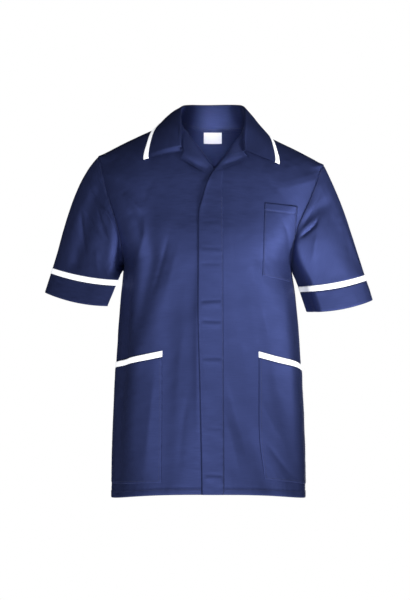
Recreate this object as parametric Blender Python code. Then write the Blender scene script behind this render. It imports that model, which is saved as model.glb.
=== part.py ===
# Work tunic with short sleeves, a notched open collar, a fly front and white tape trim.
# It is modelled hollow and filled out as if worn, on a general figure.
# Metres, +Z up. The front faces -Y and the wearer's left is +X.
# The origin lies between the shoulders, level with the base of the neck, where the tunic is carried.

from collections import namedtuple
from math import cos, pi, radians, sin

import bmesh
import bpy
import numpy as np

# Cloth and seams
WALL = 0.0012  # body cloth
FIRM_WALL = 0.0016  # collar, lapels and cuffs: two layers and an interlining
TAPE_WALL = 0.0014
LABEL_WALL = 0.0010
SEAM = 0.0004  # gap between pieces that meet edge to edge
LAID = 0.0006  # gap under a piece that lies on another
TAPE_WIDTH = 0.012

# The left front laps over the right one and eases down to the plain form towards the side
LAP_LIFT = WALL + 0.0010
LAP_FULL_X = 0.040
LAP_END_X = 0.080

NECK_X = 0.010  # the collar sits a little to the wearer's left of the hem's middle

# Levels run up the body form: 0 at the hem, 1 at the neck seam
UNDERARM = 0.72
SEAM_TURN = 0.0020  # half a side seam's gap, as an angle on the body form

Section = namedtuple(
    "Section",
    "level front_z side_z back_z half_width front_depth back_depth square centre_x lean rise",
)
BODY = [
    Section(0.00, -0.771, -0.7885, -0.787, 0.2060, 0.138, 0.124, 0.10, 0.0010, 0.0000, 2.5),
    Section(0.20, -0.640, -0.640, -0.640, 0.2020, 0.136, 0.119, 0.10, 0.0010, 0.0000, 2.5),
    Section(0.45, -0.470, -0.470, -0.470, 0.1935, 0.131, 0.109, 0.11, 0.0010, 0.0000, 2.5),
    Section(0.60, -0.372, -0.372, -0.372, 0.1860, 0.131, 0.111, 0.12, 0.0005, 0.0020, 2.5),
    Section(0.72, -0.292, -0.292, -0.292, 0.1780, 0.131, 0.116, 0.12, -0.0010, 0.0040, 2.5),
    Section(0.80, -0.240, -0.232, -0.236, 0.2080, 0.127, 0.119, 0.12, -0.0020, 0.0060, 2.3),
    Section(0.88, -0.185, -0.155, -0.168, 0.2340, 0.115, 0.115, 0.10, 0.0010, 0.0070, 2.0),
    Section(0.93, -0.140, -0.0777, -0.102, 0.2400, 0.104, 0.106, 0.08, 0.0060, 0.0090, 1.8),
    Section(0.935, -0.1335, -0.0717, -0.095, 0.2285, 0.1025, 0.104, 0.08, 0.0063, 0.0090, 1.77),
    Section(0.965, -0.095, -0.0358, -0.055, 0.1580, 0.093, 0.090, 0.06, 0.0080, 0.0090, 1.6),
    Section(1.00, -0.052, 0.0000, -0.0105, 0.0780, 0.075, 0.070, 0.05, 0.0100, 0.0090, 1.5),
]

# Where a fold starts and ends: a turn in degrees from the middle of the form, and a height.
# A negative depth is a trough. Turns grow towards the wearer's left on the body.
Fold = namedtuple("Fold", "turn z end_turn end_z width depth")
BODY_FOLDS = [
    Fold(-33, -0.235, -47, -0.420, 0.018, -0.0045),
    Fold(-22, -0.400, -24, -0.700, 0.022, -0.0035),
    Fold(-48, -0.300, -50, -0.640, 0.024, 0.0040),
    Fold(-62, -0.420, -64, -0.740, 0.024, -0.0045),
    Fold(15, -0.380, 22, -0.560, 0.020, -0.0040),
    Fold(33, -0.380, 44, -0.560, 0.020, -0.0045),
    Fold(20, -0.640, 34, -0.750, 0.018, -0.0035),
    Fold(56, -0.400, 66, -0.740, 0.024, 0.0040),
    Fold(104, -0.360, 108, -0.760, 0.026, -0.0050),
    Fold(126, -0.330, 136, -0.770, 0.028, 0.0055),
    Fold(152, -0.260, 160, -0.770, 0.028, -0.0050),
    Fold(-104, -0.380, -110, -0.760, 0.026, -0.0050),
    Fold(-130, -0.300, -138, -0.770, 0.028, 0.0055),
    Fold(-156, -0.340, -166, -0.770, 0.028, -0.0050),
]
FOLD_RADIUS = 0.155  # turns a body angle into a distance round the cloth
FOLD_END = 0.060  # a fold fades out over this length at each end

# Rows of the body panels, from the hem up, at the front edge and at the armhole
LOW_LEVELS = list(np.linspace(0.0, UNDERARM, 10))
ARM_LEVELS = [0.728, 0.742, 0.760, 0.780, 0.802, 0.824, 0.846, 0.868, 0.888, 0.905, 0.918, 0.926, 0.930]
EDGE_LEVELS = [0.750, 0.780, 0.810, 0.838, 0.862, 0.884, 0.904, 0.922, 0.938, 0.954, 0.969, 0.984, 1.000]
ARM_ROWS = len(ARM_LEVELS)
NECK_COLUMNS = 6  # columns of a front that end at the neck seam
SHOULDER_COLUMNS = 10  # columns that end at a shoulder seam
BACK_NECK_COLUMNS = 12
TOP_PULL = 4.5  # how late the rows of a panel bend up to its shoulder and neck

# The armhole seam's distance from the body's middle at a level, in front and behind
ArmSeam = namedtuple("ArmSeam", "level front back")
ARM_SEAM = [
    ArmSeam(0.720, 0.1780, 0.1780),
    ArmSeam(0.742, 0.1785, 0.1787),
    ArmSeam(0.780, 0.1810, 0.1840),
    ArmSeam(0.824, 0.1890, 0.1930),
    ArmSeam(0.868, 0.2035, 0.2070),
    ArmSeam(0.888, 0.2130, 0.2160),
    ArmSeam(0.905, 0.2215, 0.2240),
    ArmSeam(0.918, 0.2290, 0.2305),
    ArmSeam(0.926, 0.2345, 0.2355),
    ArmSeam(0.930, 0.2400, 0.2400),
]

# The front edges: the lapping left front up its roll line to the neck seam, and the right one
Edge = namedtuple("Edge", "level x")
LEFT_EDGE = [
    Edge(0.000, -0.0130),
    Edge(0.300, -0.0160),
    Edge(0.600, -0.0208),
    Edge(0.860, -0.0205),
    Edge(0.880, -0.0194),
    Edge(0.895, -0.0157),
    Edge(0.910, -0.0114),
    Edge(0.934, -0.0041),
    Edge(0.959, 0.0115),
    Edge(0.979, 0.0369),
    Edge(1.000, 0.0678),
]
RIGHT_EDGE = [
    Edge(0.000, 0.0240),
    Edge(0.860, 0.0240),
    Edge(0.940, 0.0205),
    Edge(0.959, 0.0149),
    Edge(0.979, -0.0030),
    Edge(1.000, -0.0415),
]

# A sleeve's end rings: where they show outermost and innermost, how deep they are, and how far
# their front dips below the line between those two
Ring = namedtuple("Ring", "outer_x outer_z inner_x inner_z half_depth middle_y dip")
SLEEVE_RINGS = {
    1: (
        Ring(0.332, -0.319, 0.1906, -0.3436, 0.062, -0.004, 0.005),
        Ring(0.349, -0.372, 0.2086, -0.3975, 0.060, -0.006, 0.007),
    ),
    -1: (
        Ring(-0.331, -0.304, -0.187, -0.3307, 0.062, -0.004, 0.005),
        Ring(-0.347, -0.356, -0.209, -0.3848, 0.060, -0.006, 0.007),
    ),
}
SLEEVE_ROWS = 11
SLEEVE_FULLNESS = 0.90  # how far a sleeve head rounds out
# The way in which a sleeve leaves its seam: sideways at the shoulder tip and at the underarm,
# forwards or backwards between them, and down at both
SLEEVE_WAY_OUT = {1: 0.38, -1: 0.68}
UNDERARM_WAY_OUT = 0.90
SLEEVE_SPREAD = 0.30
TIP_WAY_DOWN = 0.70
UNDERARM_WAY_DOWN = 0.35
# Turns on a sleeve run from 0 on its outer side through 90 in front to 180 on its inner side
SLEEVE_FOLDS = {
    1: [
        Fold(72, -0.200, 128, -0.250, 0.010, -0.0045),
        Fold(96, -0.215, 112, -0.255, 0.012, 0.0035),
        Fold(138, -0.250, 142, -0.330, 0.014, -0.0050),
        Fold(40, -0.170, 30, -0.300, 0.018, -0.0030),
        Fold(240, -0.190, 225, -0.320, 0.016, -0.0050),
        Fold(290, -0.160, 300, -0.300, 0.018, -0.0035),
    ],
    -1: [
        Fold(48, -0.175, 66, -0.290, 0.012, -0.0045),
        Fold(76, -0.170, 104, -0.240, 0.012, 0.0040),
        Fold(92, -0.165, 128, -0.250, 0.011, -0.0040),
        Fold(150, -0.235, 146, -0.320, 0.014, -0.0050),
        Fold(236, -0.180, 220, -0.310, 0.016, -0.0050),
        Fold(285, -0.150, 296, -0.290, 0.018, -0.0035),
    ],
}
SLEEVE_FOLD_RADIUS = 0.068

# The collar from its middle behind to its front end. Its inner edge stands on the body form at
# seam_turn and seam_level, lifted by seam_height, and its outer edge lies on the form at edge_turn
# and edge_level. Turns are degrees from the front, and fold_x is from NECK_X.
Collar = namedtuple(
    "Collar", "seam_turn seam_level seam_height fold_x fold_y fold_z edge_turn edge_level bulge"
)
COLLAR = [
    Collar(180, 1.000, 0.0000, 0.0000, 0.0740, 0.0490, 180, 0.9880, 0.006),
    Collar(150, 1.000, 0.0000, 0.0350, 0.0670, 0.0485, 152, 0.9880, 0.007),
    Collar(120, 1.000, 0.0000, 0.0590, 0.0400, 0.0450, 122, 0.9850, 0.010),
    Collar(90, 1.000, 0.0000, 0.0665, 0.0040, 0.0340, 89, 0.9830, 0.012),
    Collar(68, 1.000, 0.0000, 0.0675, -0.0330, 0.0120, 72, 0.9755, 0.012),
    Collar(50, 1.000, 0.0008, 0.0668, -0.0620, -0.0120, 57, 0.9650, 0.012),
    Collar(34, 0.982, 0.0068, 0.0641, -0.0865, -0.0625, 43, 0.9475, 0.013),
]
COLLAR_STEPS = 20  # columns from its middle to each end
COLLAR_GAP = 0.0007  # between the neck seam and the collar's inner edge
FOLD_ROLL = 0.0032  # radius of the collar's fold on its visible side
LEFT_LEAF_FLATTER = 0.4  # the wearer's left leaf rounds out less
EDGE_HEIGHT = FIRM_WALL + 0.0010  # of the collar's outer edge over the body

# The lapels, as seen from the front: along the roll line from the neck seam to the break, and
# along the outer edge by the notch and the corner
LapelPoint = namedtuple("LapelPoint", "along x z")
LAPELS = {
    1: (
        [LapelPoint(0, 0.0670, -0.0285), LapelPoint(0.6, 0.0369, -0.0713), LapelPoint(1, 0.0130, -0.1015)],
        [
            LapelPoint(0, 0.0690, -0.0500),
            LapelPoint(0.12, 0.0680, -0.0680),
            LapelPoint(0.25, 0.0851, -0.0784),
            LapelPoint(0.75, 0.0367, -0.0999),
            LapelPoint(1, 0.0160, -0.1070),
        ],
    ),
    -1: (
        [LapelPoint(0, -0.0425, -0.0256), LapelPoint(0.6, -0.0050, -0.0760), LapelPoint(1, 0.0070, -0.0930)],
        [
            LapelPoint(0, -0.0505, -0.0470),
            LapelPoint(0.12, -0.0505, -0.0650),
            LapelPoint(0.25, -0.0578, -0.0792),
            LapelPoint(0.75, -0.0170, -0.1030),
            LapelPoint(1, -0.0020, -0.1095),
        ],
    ),
}
# How high a lapel's visible side stands over the front, from its roll to its outer edge
LapelHeight = namedtuple("LapelHeight", "across height")
LAPEL_HEIGHTS = [
    LapelHeight(0.00, 0.0022),
    LapelHeight(0.12, 0.0050),
    LapelHeight(0.45, 0.0056),
    LapelHeight(1.00, 0.0036),
]
# Where a lapel's rows and columns lie: along it from its top, and across it from its roll
LAPEL_ALONG = [0, 0.12, 0.25, 0.4, 0.55, 0.7, 0.85, 1.0]
LAPEL_ACROSS = [0, 0.06, 0.14, 0.3, 0.55, 0.8, 1.0]

# Outlines of what lies on a front, as seen from the front, anticlockwise
PLACKET = [(-0.060, -0.800), (0.0331, -0.800), (0.0301, -0.112), (-0.060, -0.112)]
CHEST_POCKET = [(0.1119, -0.3216), (0.1729, -0.3346), (0.1864, -0.1777), (0.1168, -0.1705)]
LOWER_POCKETS = {
    1: [(0.1171, -0.7414), (0.230, -0.767), (0.230, -0.5320), (0.1046, -0.4900), (0.1046, -0.6355)],
    -1: [(-0.230, -0.762), (-0.0960, -0.7480), (-0.0950, -0.4890), (-0.230, -0.5255)],
}
LABEL = [(-0.0092, -0.0360), (0.0298, -0.0360), (0.0298, -0.0125), (-0.0092, -0.0125)]


# A smooth curve through rows of (place, value, ...) that doesn't overshoot them
def smooth(rows):
    rows = np.array(rows, float)
    place, value = rows[:, 0], rows[:, 1:]
    step = np.diff(place)
    slope = np.diff(value, axis=0) / step[:, None]
    tangent = np.zeros_like(value)
    tangent[0], tangent[-1] = slope[0], slope[-1]
    before, after = slope[:-1], slope[1:]
    same_way = before * after > 0
    total = np.where(same_way, before + after, 1.0)
    tangent[1:-1] = np.where(same_way, 2 * before * after / total, 0.0)

    def at(where):
        where = np.clip(np.asarray(where, float), place[0], place[-1])
        k = np.clip(np.searchsorted(place, where, "right") - 1, 0, len(step) - 1)
        h = step[k][..., None]
        f = ((where - place[k]) / step[k])[..., None]
        return (
            value[k] * (1 + 2 * f) * (1 - f) ** 2
            + tangent[k] * h * f * (1 - f) ** 2
            + value[k + 1] * f * f * (3 - 2 * f)
            + tangent[k + 1] * h * f * f * (f - 1)
        )

    return at


body_curve = smooth(BODY)
arm_seam_curve = smooth(ARM_SEAM)
left_edge_curve = smooth(LEFT_EDGE)
right_edge_curve = smooth(RIGHT_EDGE)


def section_at(level):
    return dict(zip(Section._fields[1:], np.moveaxis(body_curve(level), -1, 0)))


def unit(v):
    return v / np.linalg.norm(v, axis=-1, keepdims=True)


# A point of the body form without folds. Angle 0 is the front centre and grows towards +X.
def plain_form(angle, level):
    angle, level = np.broadcast_arrays(np.asarray(angle, float), np.asarray(level, float))
    c = section_at(level)
    across, along = np.sin(angle), np.cos(angle)
    front = along > 0
    depth = np.where(front, c["front_depth"], c["back_depth"])
    middle_z = np.where(front, c["front_z"], c["back_z"])
    side_z = c["side_z"] - c["lean"] * np.sign(across)
    x = c["centre_x"] + c["half_width"] * across * (1 + c["square"] * along**2)
    y = -depth * along * (1 + c["square"] * across**2)
    z = middle_z + (side_z - middle_z) * np.abs(across) ** c["rise"]
    return np.stack([x, y, z], axis=-1)


# How far folds move the cloth out at a distance round it and a height
def fold_height(folds, radius, angle, z):
    round_it = np.asarray(angle) * radius
    height = np.zeros_like(round_it)
    for f in folds:
        start_x, end_x = radians(f.turn) * radius, radians(f.end_turn) * radius
        length = np.hypot(end_x - start_x, f.end_z - f.z)
        run_x, run_z = (end_x - start_x) / length, (f.end_z - f.z) / length
        along = (round_it - start_x) * run_x + (z - f.z) * run_z
        off = (round_it - start_x) * run_z - (z - f.z) * run_x
        past = np.maximum(np.maximum(-along, along - length), 0.0) / FOLD_END
        height = height + f.depth * np.exp(-((off / f.width) ** 2) - past**2)
    return height


def outward(surface, angle, level, step=2e-4):
    level = np.clip(level, 2 * step, 1 - 2 * step)
    around = surface(angle + step, level) - surface(angle - step, level)
    up = surface(angle, level + step) - surface(angle, level - step)
    return unit(np.cross(around, up))


def folded_form(angle, level):
    point = plain_form(angle, level)
    turn = (np.asarray(angle) + pi) % (2 * pi) - pi
    height = fold_height(BODY_FOLDS, FOLD_RADIUS, turn, point[..., 2])
    return point + outward(plain_form, angle, level) * height[..., None]


# The angle at which the form is at x, on its front or its back
def angle_at(level, x, back=False):
    c = section_at(level)
    wanted = np.clip((x - c["centre_x"]) / c["half_width"], -1, 1)
    sine = wanted
    for _ in range(40):
        sine = np.clip(wanted / (1 + c["square"] * (1 - sine**2)), -1, 1)
    angle = np.arcsin(sine)
    return pi - angle if back else angle


def over_form(turn, level, height):
    angle = np.radians(turn)
    return plain_form(angle, level) + outward(plain_form, angle, level) * height[..., None]


# The point over the form's front that shows at x and z from the front, lifted off the cloth
def on_front(x, z, height):
    place = np.array([np.arctan2(x, 0.12), 0.95])
    step = 1e-4
    for _ in range(30):
        here = plain_form(*place)[[0, 2]]
        by_angle = (plain_form(place[0] + step, place[1])[[0, 2]] - here) / step
        by_level = (here - plain_form(place[0], place[1] - step)[[0, 2]]) / step
        move = np.linalg.solve(np.stack([by_angle, by_level], axis=1), np.array([x, z]) - here)
        place = place + np.clip(move, -0.15, 0.15)
        place[1] = np.clip(place[1], 0.0, 1.0)
    return folded_form(*place) + outward(plain_form, *place) * height


def lap_lift(x):
    ease = np.clip((LAP_END_X - x) / (LAP_END_X - LAP_FULL_X), 0, 1)
    return LAP_LIFT * ease * ease * (3 - 2 * ease)


# A sheet is a grid of points on its visible side and the directions out of it. Rows run up or
# along it, and columns to the right as seen from that side. A ring's last column meets its first.
class Sheet:
    def __init__(self, points, outs=None, ring=False):
        self.points = points
        self.ring = ring
        self.outs = self.measured_outs() if outs is None else outs

    def measured_outs(self):
        if self.ring:
            around = np.roll(self.points, -1, axis=1) - np.roll(self.points, 1, axis=1)
        else:
            around = np.gradient(self.points, axis=1)
        return unit(np.cross(around, np.gradient(self.points, axis=0)))

    def triangles(self):
        rows, columns = self.points.shape[:2]
        for j in range(rows - 1):
            for i in range(columns if self.ring else columns - 1):
                k = (i + 1) % columns
                low, right = j * columns + i, j * columns + k
                up, far = low + columns, right + columns
                yield low, right, far
                yield low, far, up


def material(name, colour, roughness):
    made = bpy.data.materials.new(name)
    made.use_nodes = True
    surface = made.node_tree.nodes["Principled BSDF"]
    surface.inputs["Base Color"].default_value = (*colour, 1.0)
    surface.inputs["Roughness"].default_value = roughness
    surface.inputs["Metallic"].default_value = 0.0
    return made


def add_object(name, mesh, cloth):
    bmesh.ops.recalc_face_normals(mesh, faces=mesh.faces)
    data = bpy.data.meshes.new(name)
    mesh.to_mesh(data)
    mesh.free()
    data.materials.append(cloth)
    data.shade_smooth()
    data.set_sharp_from_angle(angle=radians(50))
    obj = bpy.data.objects.new(name, data)
    bpy.context.scene.collection.objects.link(obj)
    return obj


def surface_mesh(sheet):
    mesh = bmesh.new()
    out = mesh.verts.layers.float_vector.new("out")
    for point, direction in zip(sheet.points.reshape(-1, 3), sheet.outs.reshape(-1, 3)):
        mesh.verts.new(point)[out] = direction
    mesh.verts.ensure_lookup_table()
    for corners in sheet.triangles():
        mesh.faces.new([mesh.verts[k] for k in corners])
    return mesh, out


# Gives an open surface a wall that reaches from one distance off it to another
def add_wall(name, surface, out, near, far, cloth):
    mesh = bmesh.new()
    sides = []
    for distance, flip in ((far, False), (near, True)):
        verts = {v: mesh.verts.new(v.co + v[out] * distance) for v in surface.verts}
        for face in surface.faces:
            corners = [verts[v] for v in face.verts]
            mesh.faces.new(corners[::-1] if flip else corners)
        sides.append(verts)
    for edge in surface.edges:
        if edge.is_boundary:
            a, b = edge.verts
            mesh.faces.new([sides[0][a], sides[0][b], sides[1][b]])
            mesh.faces.new([sides[0][a], sides[1][b], sides[1][a]])
    surface.free()
    return add_object(name, mesh, cloth)


def add_sheet(name, sheet, wall, cloth):
    surface, out = surface_mesh(sheet)
    add_wall(name, surface, out, -wall, 0.0, cloth)


# Cuts a piece that lies on a sheet out of the sheet's own surface, and moves it out. The outline
# is convex, in x and z as seen from the front, anticlockwise.
def add_laid(name, sheet, outline, wall, cloth, lift=LAID):
    surface, out = surface_mesh(sheet)
    for (ax, az), (bx, bz) in zip(outline, outline[1:] + outline[:1]):
        bmesh.ops.bisect_plane(
            surface,
            geom=surface.verts[:] + surface.edges[:] + surface.faces[:],
            dist=1e-5,
            plane_co=(ax, 0, az),
            plane_no=(bz - az, 0, ax - bx),
            clear_outer=True,
        )
    bmesh.ops.triangulate(surface, faces=surface.faces)
    add_wall(name, surface, out, lift, lift + wall, cloth)


# Body

def arm_guide(side, back):
    levels = np.array(LOW_LEVELS + ARM_LEVELS)
    seam = arm_seam_curve(levels)[:, 1 if back else 0]
    c = section_at(levels)
    seam_angle = side * (pi / 2 - (-SEAM_TURN if back else SEAM_TURN))
    x = c["centre_x"] + side * np.minimum(seam, c["half_width"])
    arm_angle = angle_at(levels, x, back)
    if back and side < 0:
        arm_angle = arm_angle - 2 * pi
    angles = np.where(levels <= UNDERARM, seam_angle, arm_angle)
    angles[-1] = seam_angle
    return np.stack([angles, levels], axis=-1)


# Fills in a panel between its left and right guides, its hem and its upper edge
def filled_in(left, right, top):
    rows, columns = len(left), len(top)
    f = np.linspace(0, 1, columns)[None, :, None]
    places = left[:, None] * (1 - f) + right[:, None] * f
    low = len(LOW_LEVELS) - 1
    weight = np.clip((np.arange(rows) - low) / (rows - 1 - low), 0, 1) ** TOP_PULL
    return places + weight[:, None, None] * (top - places[-1])[None]


def joined(*runs):
    return np.concatenate([runs[0]] + [run[1:] for run in runs[1:]])


def run(start, end, count):
    f = np.linspace(0, 1, count + 1)[:, None]
    return np.array(start) * (1 - f) + np.array(end) * f


def front_sheet(side, edge_curve, lapping):
    levels = np.array(LOW_LEVELS + EDGE_LEVELS)
    edge = np.stack([angle_at(levels, edge_curve(levels)[:, 0]), levels], axis=-1)
    arm = arm_guide(side, False)
    high_point = (arm[-1][0], 1.0)
    top = joined(run(edge[-1], high_point, NECK_COLUMNS), run(high_point, arm[-1], SHOULDER_COLUMNS))
    if side < 0:
        places = filled_in(arm, edge, top[::-1])
    else:
        places = filled_in(edge, arm, top)
    sheet = Sheet(folded_form(places[..., 0], places[..., 1]))
    if lapping:
        sheet.points = sheet.points + sheet.outs * lap_lift(sheet.points[..., 0])[..., None]
    return sheet


def back_sheet():
    left, right = arm_guide(1, True), arm_guide(-1, True)
    right = right + np.array([2 * pi, 0])
    left_neck, right_neck = (left[-1][0], 1.0), (right[-1][0], 1.0)
    top = joined(
        run(left[-1], left_neck, SHOULDER_COLUMNS),
        run(left_neck, right_neck, BACK_NECK_COLUMNS),
        run(right_neck, right[-1], SHOULDER_COLUMNS),
    )
    places = filled_in(left, right, top)
    return Sheet(folded_form(places[..., 0], places[..., 1]))


# Both sides of a seam face the same way along it, so that their rims stay apart
def share_outs(sheet_a, place_a, sheet_b, place_b):
    both = unit(sheet_a.outs[place_a] + sheet_b.outs[place_b])
    sheet_a.outs[place_a] = both
    sheet_b.outs[place_b] = both


# Sleeves

def ring_points(ring, count):
    turn = np.arange(count) * 2 * pi / count
    outer, inner = np.array([ring.outer_x, ring.outer_z]), np.array([ring.inner_x, ring.inner_z])
    middle, half = (outer + inner) / 2, (outer - inner) / 2
    flat = middle + half * np.cos(turn)[:, None]
    y = ring.middle_y - ring.half_depth * np.sin(turn)
    z = flat[:, 1] - ring.dip * np.maximum(np.sin(turn), 0) ** 2
    return np.stack([flat[:, 0], y, z], axis=-1)


# The armhole's points, from the shoulder tip down its front to the underarm, and up its back.
# Each is a sheet, a row and a column.
def armhole(side, front, back):
    front_column, back_column = (-1, 0) if side > 0 else (0, -1)
    places = [(front, row, front_column) for row in range(-1, -ARM_ROWS - 2, -1)]
    return places + [(back, row, back_column) for row in range(-ARM_ROWS, -1)]


def sleeve_sheet(side, armhole_points, end_points):
    count = len(armhole_points)
    turn = np.arange(count) * 2 * pi / count
    under = (1 - np.cos(turn)) / 2
    way_out = SLEEVE_WAY_OUT[side] * (1 - under) + UNDERARM_WAY_OUT * under
    way_down = TIP_WAY_DOWN * (1 - under) + UNDERARM_WAY_DOWN * under
    leave = np.stack([side * way_out, -SLEEVE_SPREAD * np.sin(turn), -way_down], axis=-1)
    hem_ring = ring_points(SLEEVE_RINGS[side][1], count)
    reach = np.linalg.norm(end_points - armhole_points, axis=-1)[:, None]
    start_way = unit(leave) * reach * SLEEVE_FULLNESS
    end_way = unit(hem_ring - end_points) * reach
    t = (np.linspace(0, 1, SLEEVE_ROWS) ** 1.25)[:, None, None]
    points = (
        armhole_points * (1 + 2 * t) * (1 - t) ** 2
        + start_way * t * (1 - t) ** 2
        + end_points * t * t * (3 - 2 * t)
        + end_way * t * t * (t - 1)
    )
    sheet = ring_sheet(side, points)
    turns = turn if side > 0 else turn[::-1]
    height = fold_height(SLEEVE_FOLDS[side], SLEEVE_FOLD_RADIUS, turns, sheet.points[..., 2])
    held = np.minimum(t[..., 0] / 0.15, 1) * np.minimum((1 - t[..., 0]) / 0.12, 1)
    return ring_sheet(side, (sheet.points + sheet.outs * (height * held)[..., None])[:, ::side])


# Columns round a sleeve run from the tip by the front, which is anticlockwise on one side only
def ring_sheet(side, points):
    return Sheet(points[:, ::side], ring=True)


# Where two walls meet at an angle, both rims lie on the plane halfway between them
def shared_rim(out_a, out_b):
    both = unit(out_a + out_b)
    lean = (both * out_a).sum(axis=-1, keepdims=True)
    return both / np.clip(lean, 0.5, 1)


def add_sleeve(side, name, front, back, cloth, tape):
    places = armhole(side, front, back)
    seam_points = np.array([sheet.points[row, column] for sheet, row, column in places])
    body_outs = np.array([sheet.outs[row, column] for sheet, row, column in places])
    back_column = 0 if side > 0 else -1
    shared = ((0, -1), (ARM_ROWS, -ARM_ROWS - 1))
    for k, row in shared:
        seam_points[k] = (seam_points[k] + back.points[row, back_column]) / 2
    count = len(places)
    top, hem = (ring_points(ring, count) for ring in SLEEVE_RINGS[side])
    rough = sleeve_sheet(side, seam_points, top)
    rim = shared_rim(body_outs, rough.outs[0][::side])
    for (sheet, row, column), out in zip(places, rim):
        sheet.outs[row, column] = out
    for k, row in shared:
        back.outs[row, back_column] = rim[k]
    along_seam = np.roll(seam_points, -1, axis=0) - np.roll(seam_points, 1, axis=0)
    away = unit(np.cross(unit(rim), along_seam))
    leaving = (rough.points[1] - rough.points[0])[::side]
    away = away * np.sign((away * leaving).sum(axis=-1, keepdims=True))
    sheet = sleeve_sheet(side, seam_points + away * SEAM, top)
    end = ring_sheet(side, np.stack([top, hem]))
    end_rim = shared_rim(sheet.outs[-1], end.outs[0])
    sheet.outs[0], sheet.outs[-1] = rim[::side], end_rim
    add_sheet(f"sleeve_{name}", sheet, WALL, cloth)
    length = np.linalg.norm(hem - top, axis=-1).mean()
    tape_end = TAPE_WIDTH / length
    for piece, start, end, rows, wall, finish in (
        (f"sleeve_tape_{name}", SEAM / length, tape_end, 1, TAPE_WALL, tape),
        (f"cuff_{name}", tape_end + SEAM / length, 1.0, 2, FIRM_WALL, cloth),
    ):
        f = np.linspace(start, end, rows + 1)[:, None, None]
        sheet = ring_sheet(side, top * (1 - f) + hem * f)
        if finish is tape:
            sheet.outs[0] = end_rim
        add_sheet(piece, sheet, wall, finish)


# Collar and lapels

def collar_lines():
    table = np.array(COLLAR, float)
    column = Collar._fields.index
    sides = []
    for side in (-1, 1):
        rows = table[::-1] if side < 0 else table
        place = np.arange(len(rows)) - (len(rows) - 1 if side < 0 else 0)
        rows = rows.copy()
        for name in ("seam_turn", "edge_turn"):
            k = column(name)
            rows[:, k] = (360 - rows[:, k]) if side < 0 else rows[:, k]
        rows[:, column("fold_x")] *= side
        sides.append(np.column_stack([place, rows]))
    both = np.concatenate([sides[0][:-1], sides[1]])
    steps = np.linspace(both[0, 0], both[-1, 0], 2 * COLLAR_STEPS + 1)
    return dict(zip(Collar._fields, smooth(both)(steps).T))


def collar_sheets():
    c = collar_lines()
    fold = np.stack([NECK_X + c["fold_x"], c["fold_y"], c["fold_z"]], axis=-1)
    seam = over_form(c["seam_turn"], c["seam_level"], c["seam_height"]) + np.array([0, 0, COLLAR_GAP])
    edge_out = outward(plain_form, np.radians(c["edge_turn"]), c["edge_level"])
    edge = plain_form(np.radians(c["edge_turn"]), c["edge_level"]) + edge_out * EDGE_HEIGHT
    way = unit(np.gradient(fold, axis=0))
    crest = -(unit(seam - fold) + unit(edge - fold))
    crest = unit(crest - way * (crest * way).sum(axis=-1, keepdims=True))
    outer_way = np.cross(way, crest)
    outer_way = outer_way * np.sign((outer_way * (edge - seam)).sum(axis=-1, keepdims=True))
    centre = fold - crest * FOLD_ROLL
    rolled = [
        centre + (crest * cos(a) + outer_way * sin(a)) * FOLD_ROLL
        for a in np.radians([-90, -45, 0, 45, 90])
    ]
    bulge = (c["bulge"] * np.where(c["seam_turn"] < 180, LEFT_LEAF_FLATTER, 1.0))[:, None]
    control = (rolled[-1] + edge) / 2 + unit(edge_out + crest) * bulge
    length = np.linalg.norm(edge - rolled[-1], axis=-1)[:, None]

    def leaf(f):
        return rolled[-1] * (1 - f) ** 2 + control * 2 * f * (1 - f) + edge * f * f

    tape_start = 1 - TAPE_WIDTH / length
    rows = [seam * (1 - f) + rolled[0] * f for f in (0, 0.33, 0.67)] + rolled
    rows += [leaf(tape_start * f) for f in (0.25, 0.5, 0.75, 1.0)]
    tape_rows = [leaf(tape_start + SEAM / length), leaf(np.ones_like(length))]
    return Sheet(np.stack(rows)), Sheet(np.stack(tape_rows))


def lapel_sheet(side):
    roll, outer = (np.array(line, float) for line in LAPELS[side])
    heights = smooth(LAPEL_HEIGHTS)
    grid = []
    for v in LAPEL_ACROSS:
        row = []
        for u in LAPEL_ALONG:
            ends = [[np.interp(u, line[:, 0], line[:, k]) for k in (1, 2)] for line in (roll, outer)]
            x, z = np.array(ends[0]) * (1 - v) + np.array(ends[1]) * v
            lift = lap_lift(x) if side > 0 else 0.0
            row.append(on_front(x, z, float(heights(v)[0]) + lift))
        grid.append(row)
    points = np.array(grid)
    return Sheet(points[:, ::-1] if side < 0 else points[::-1, ::-1])


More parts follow.
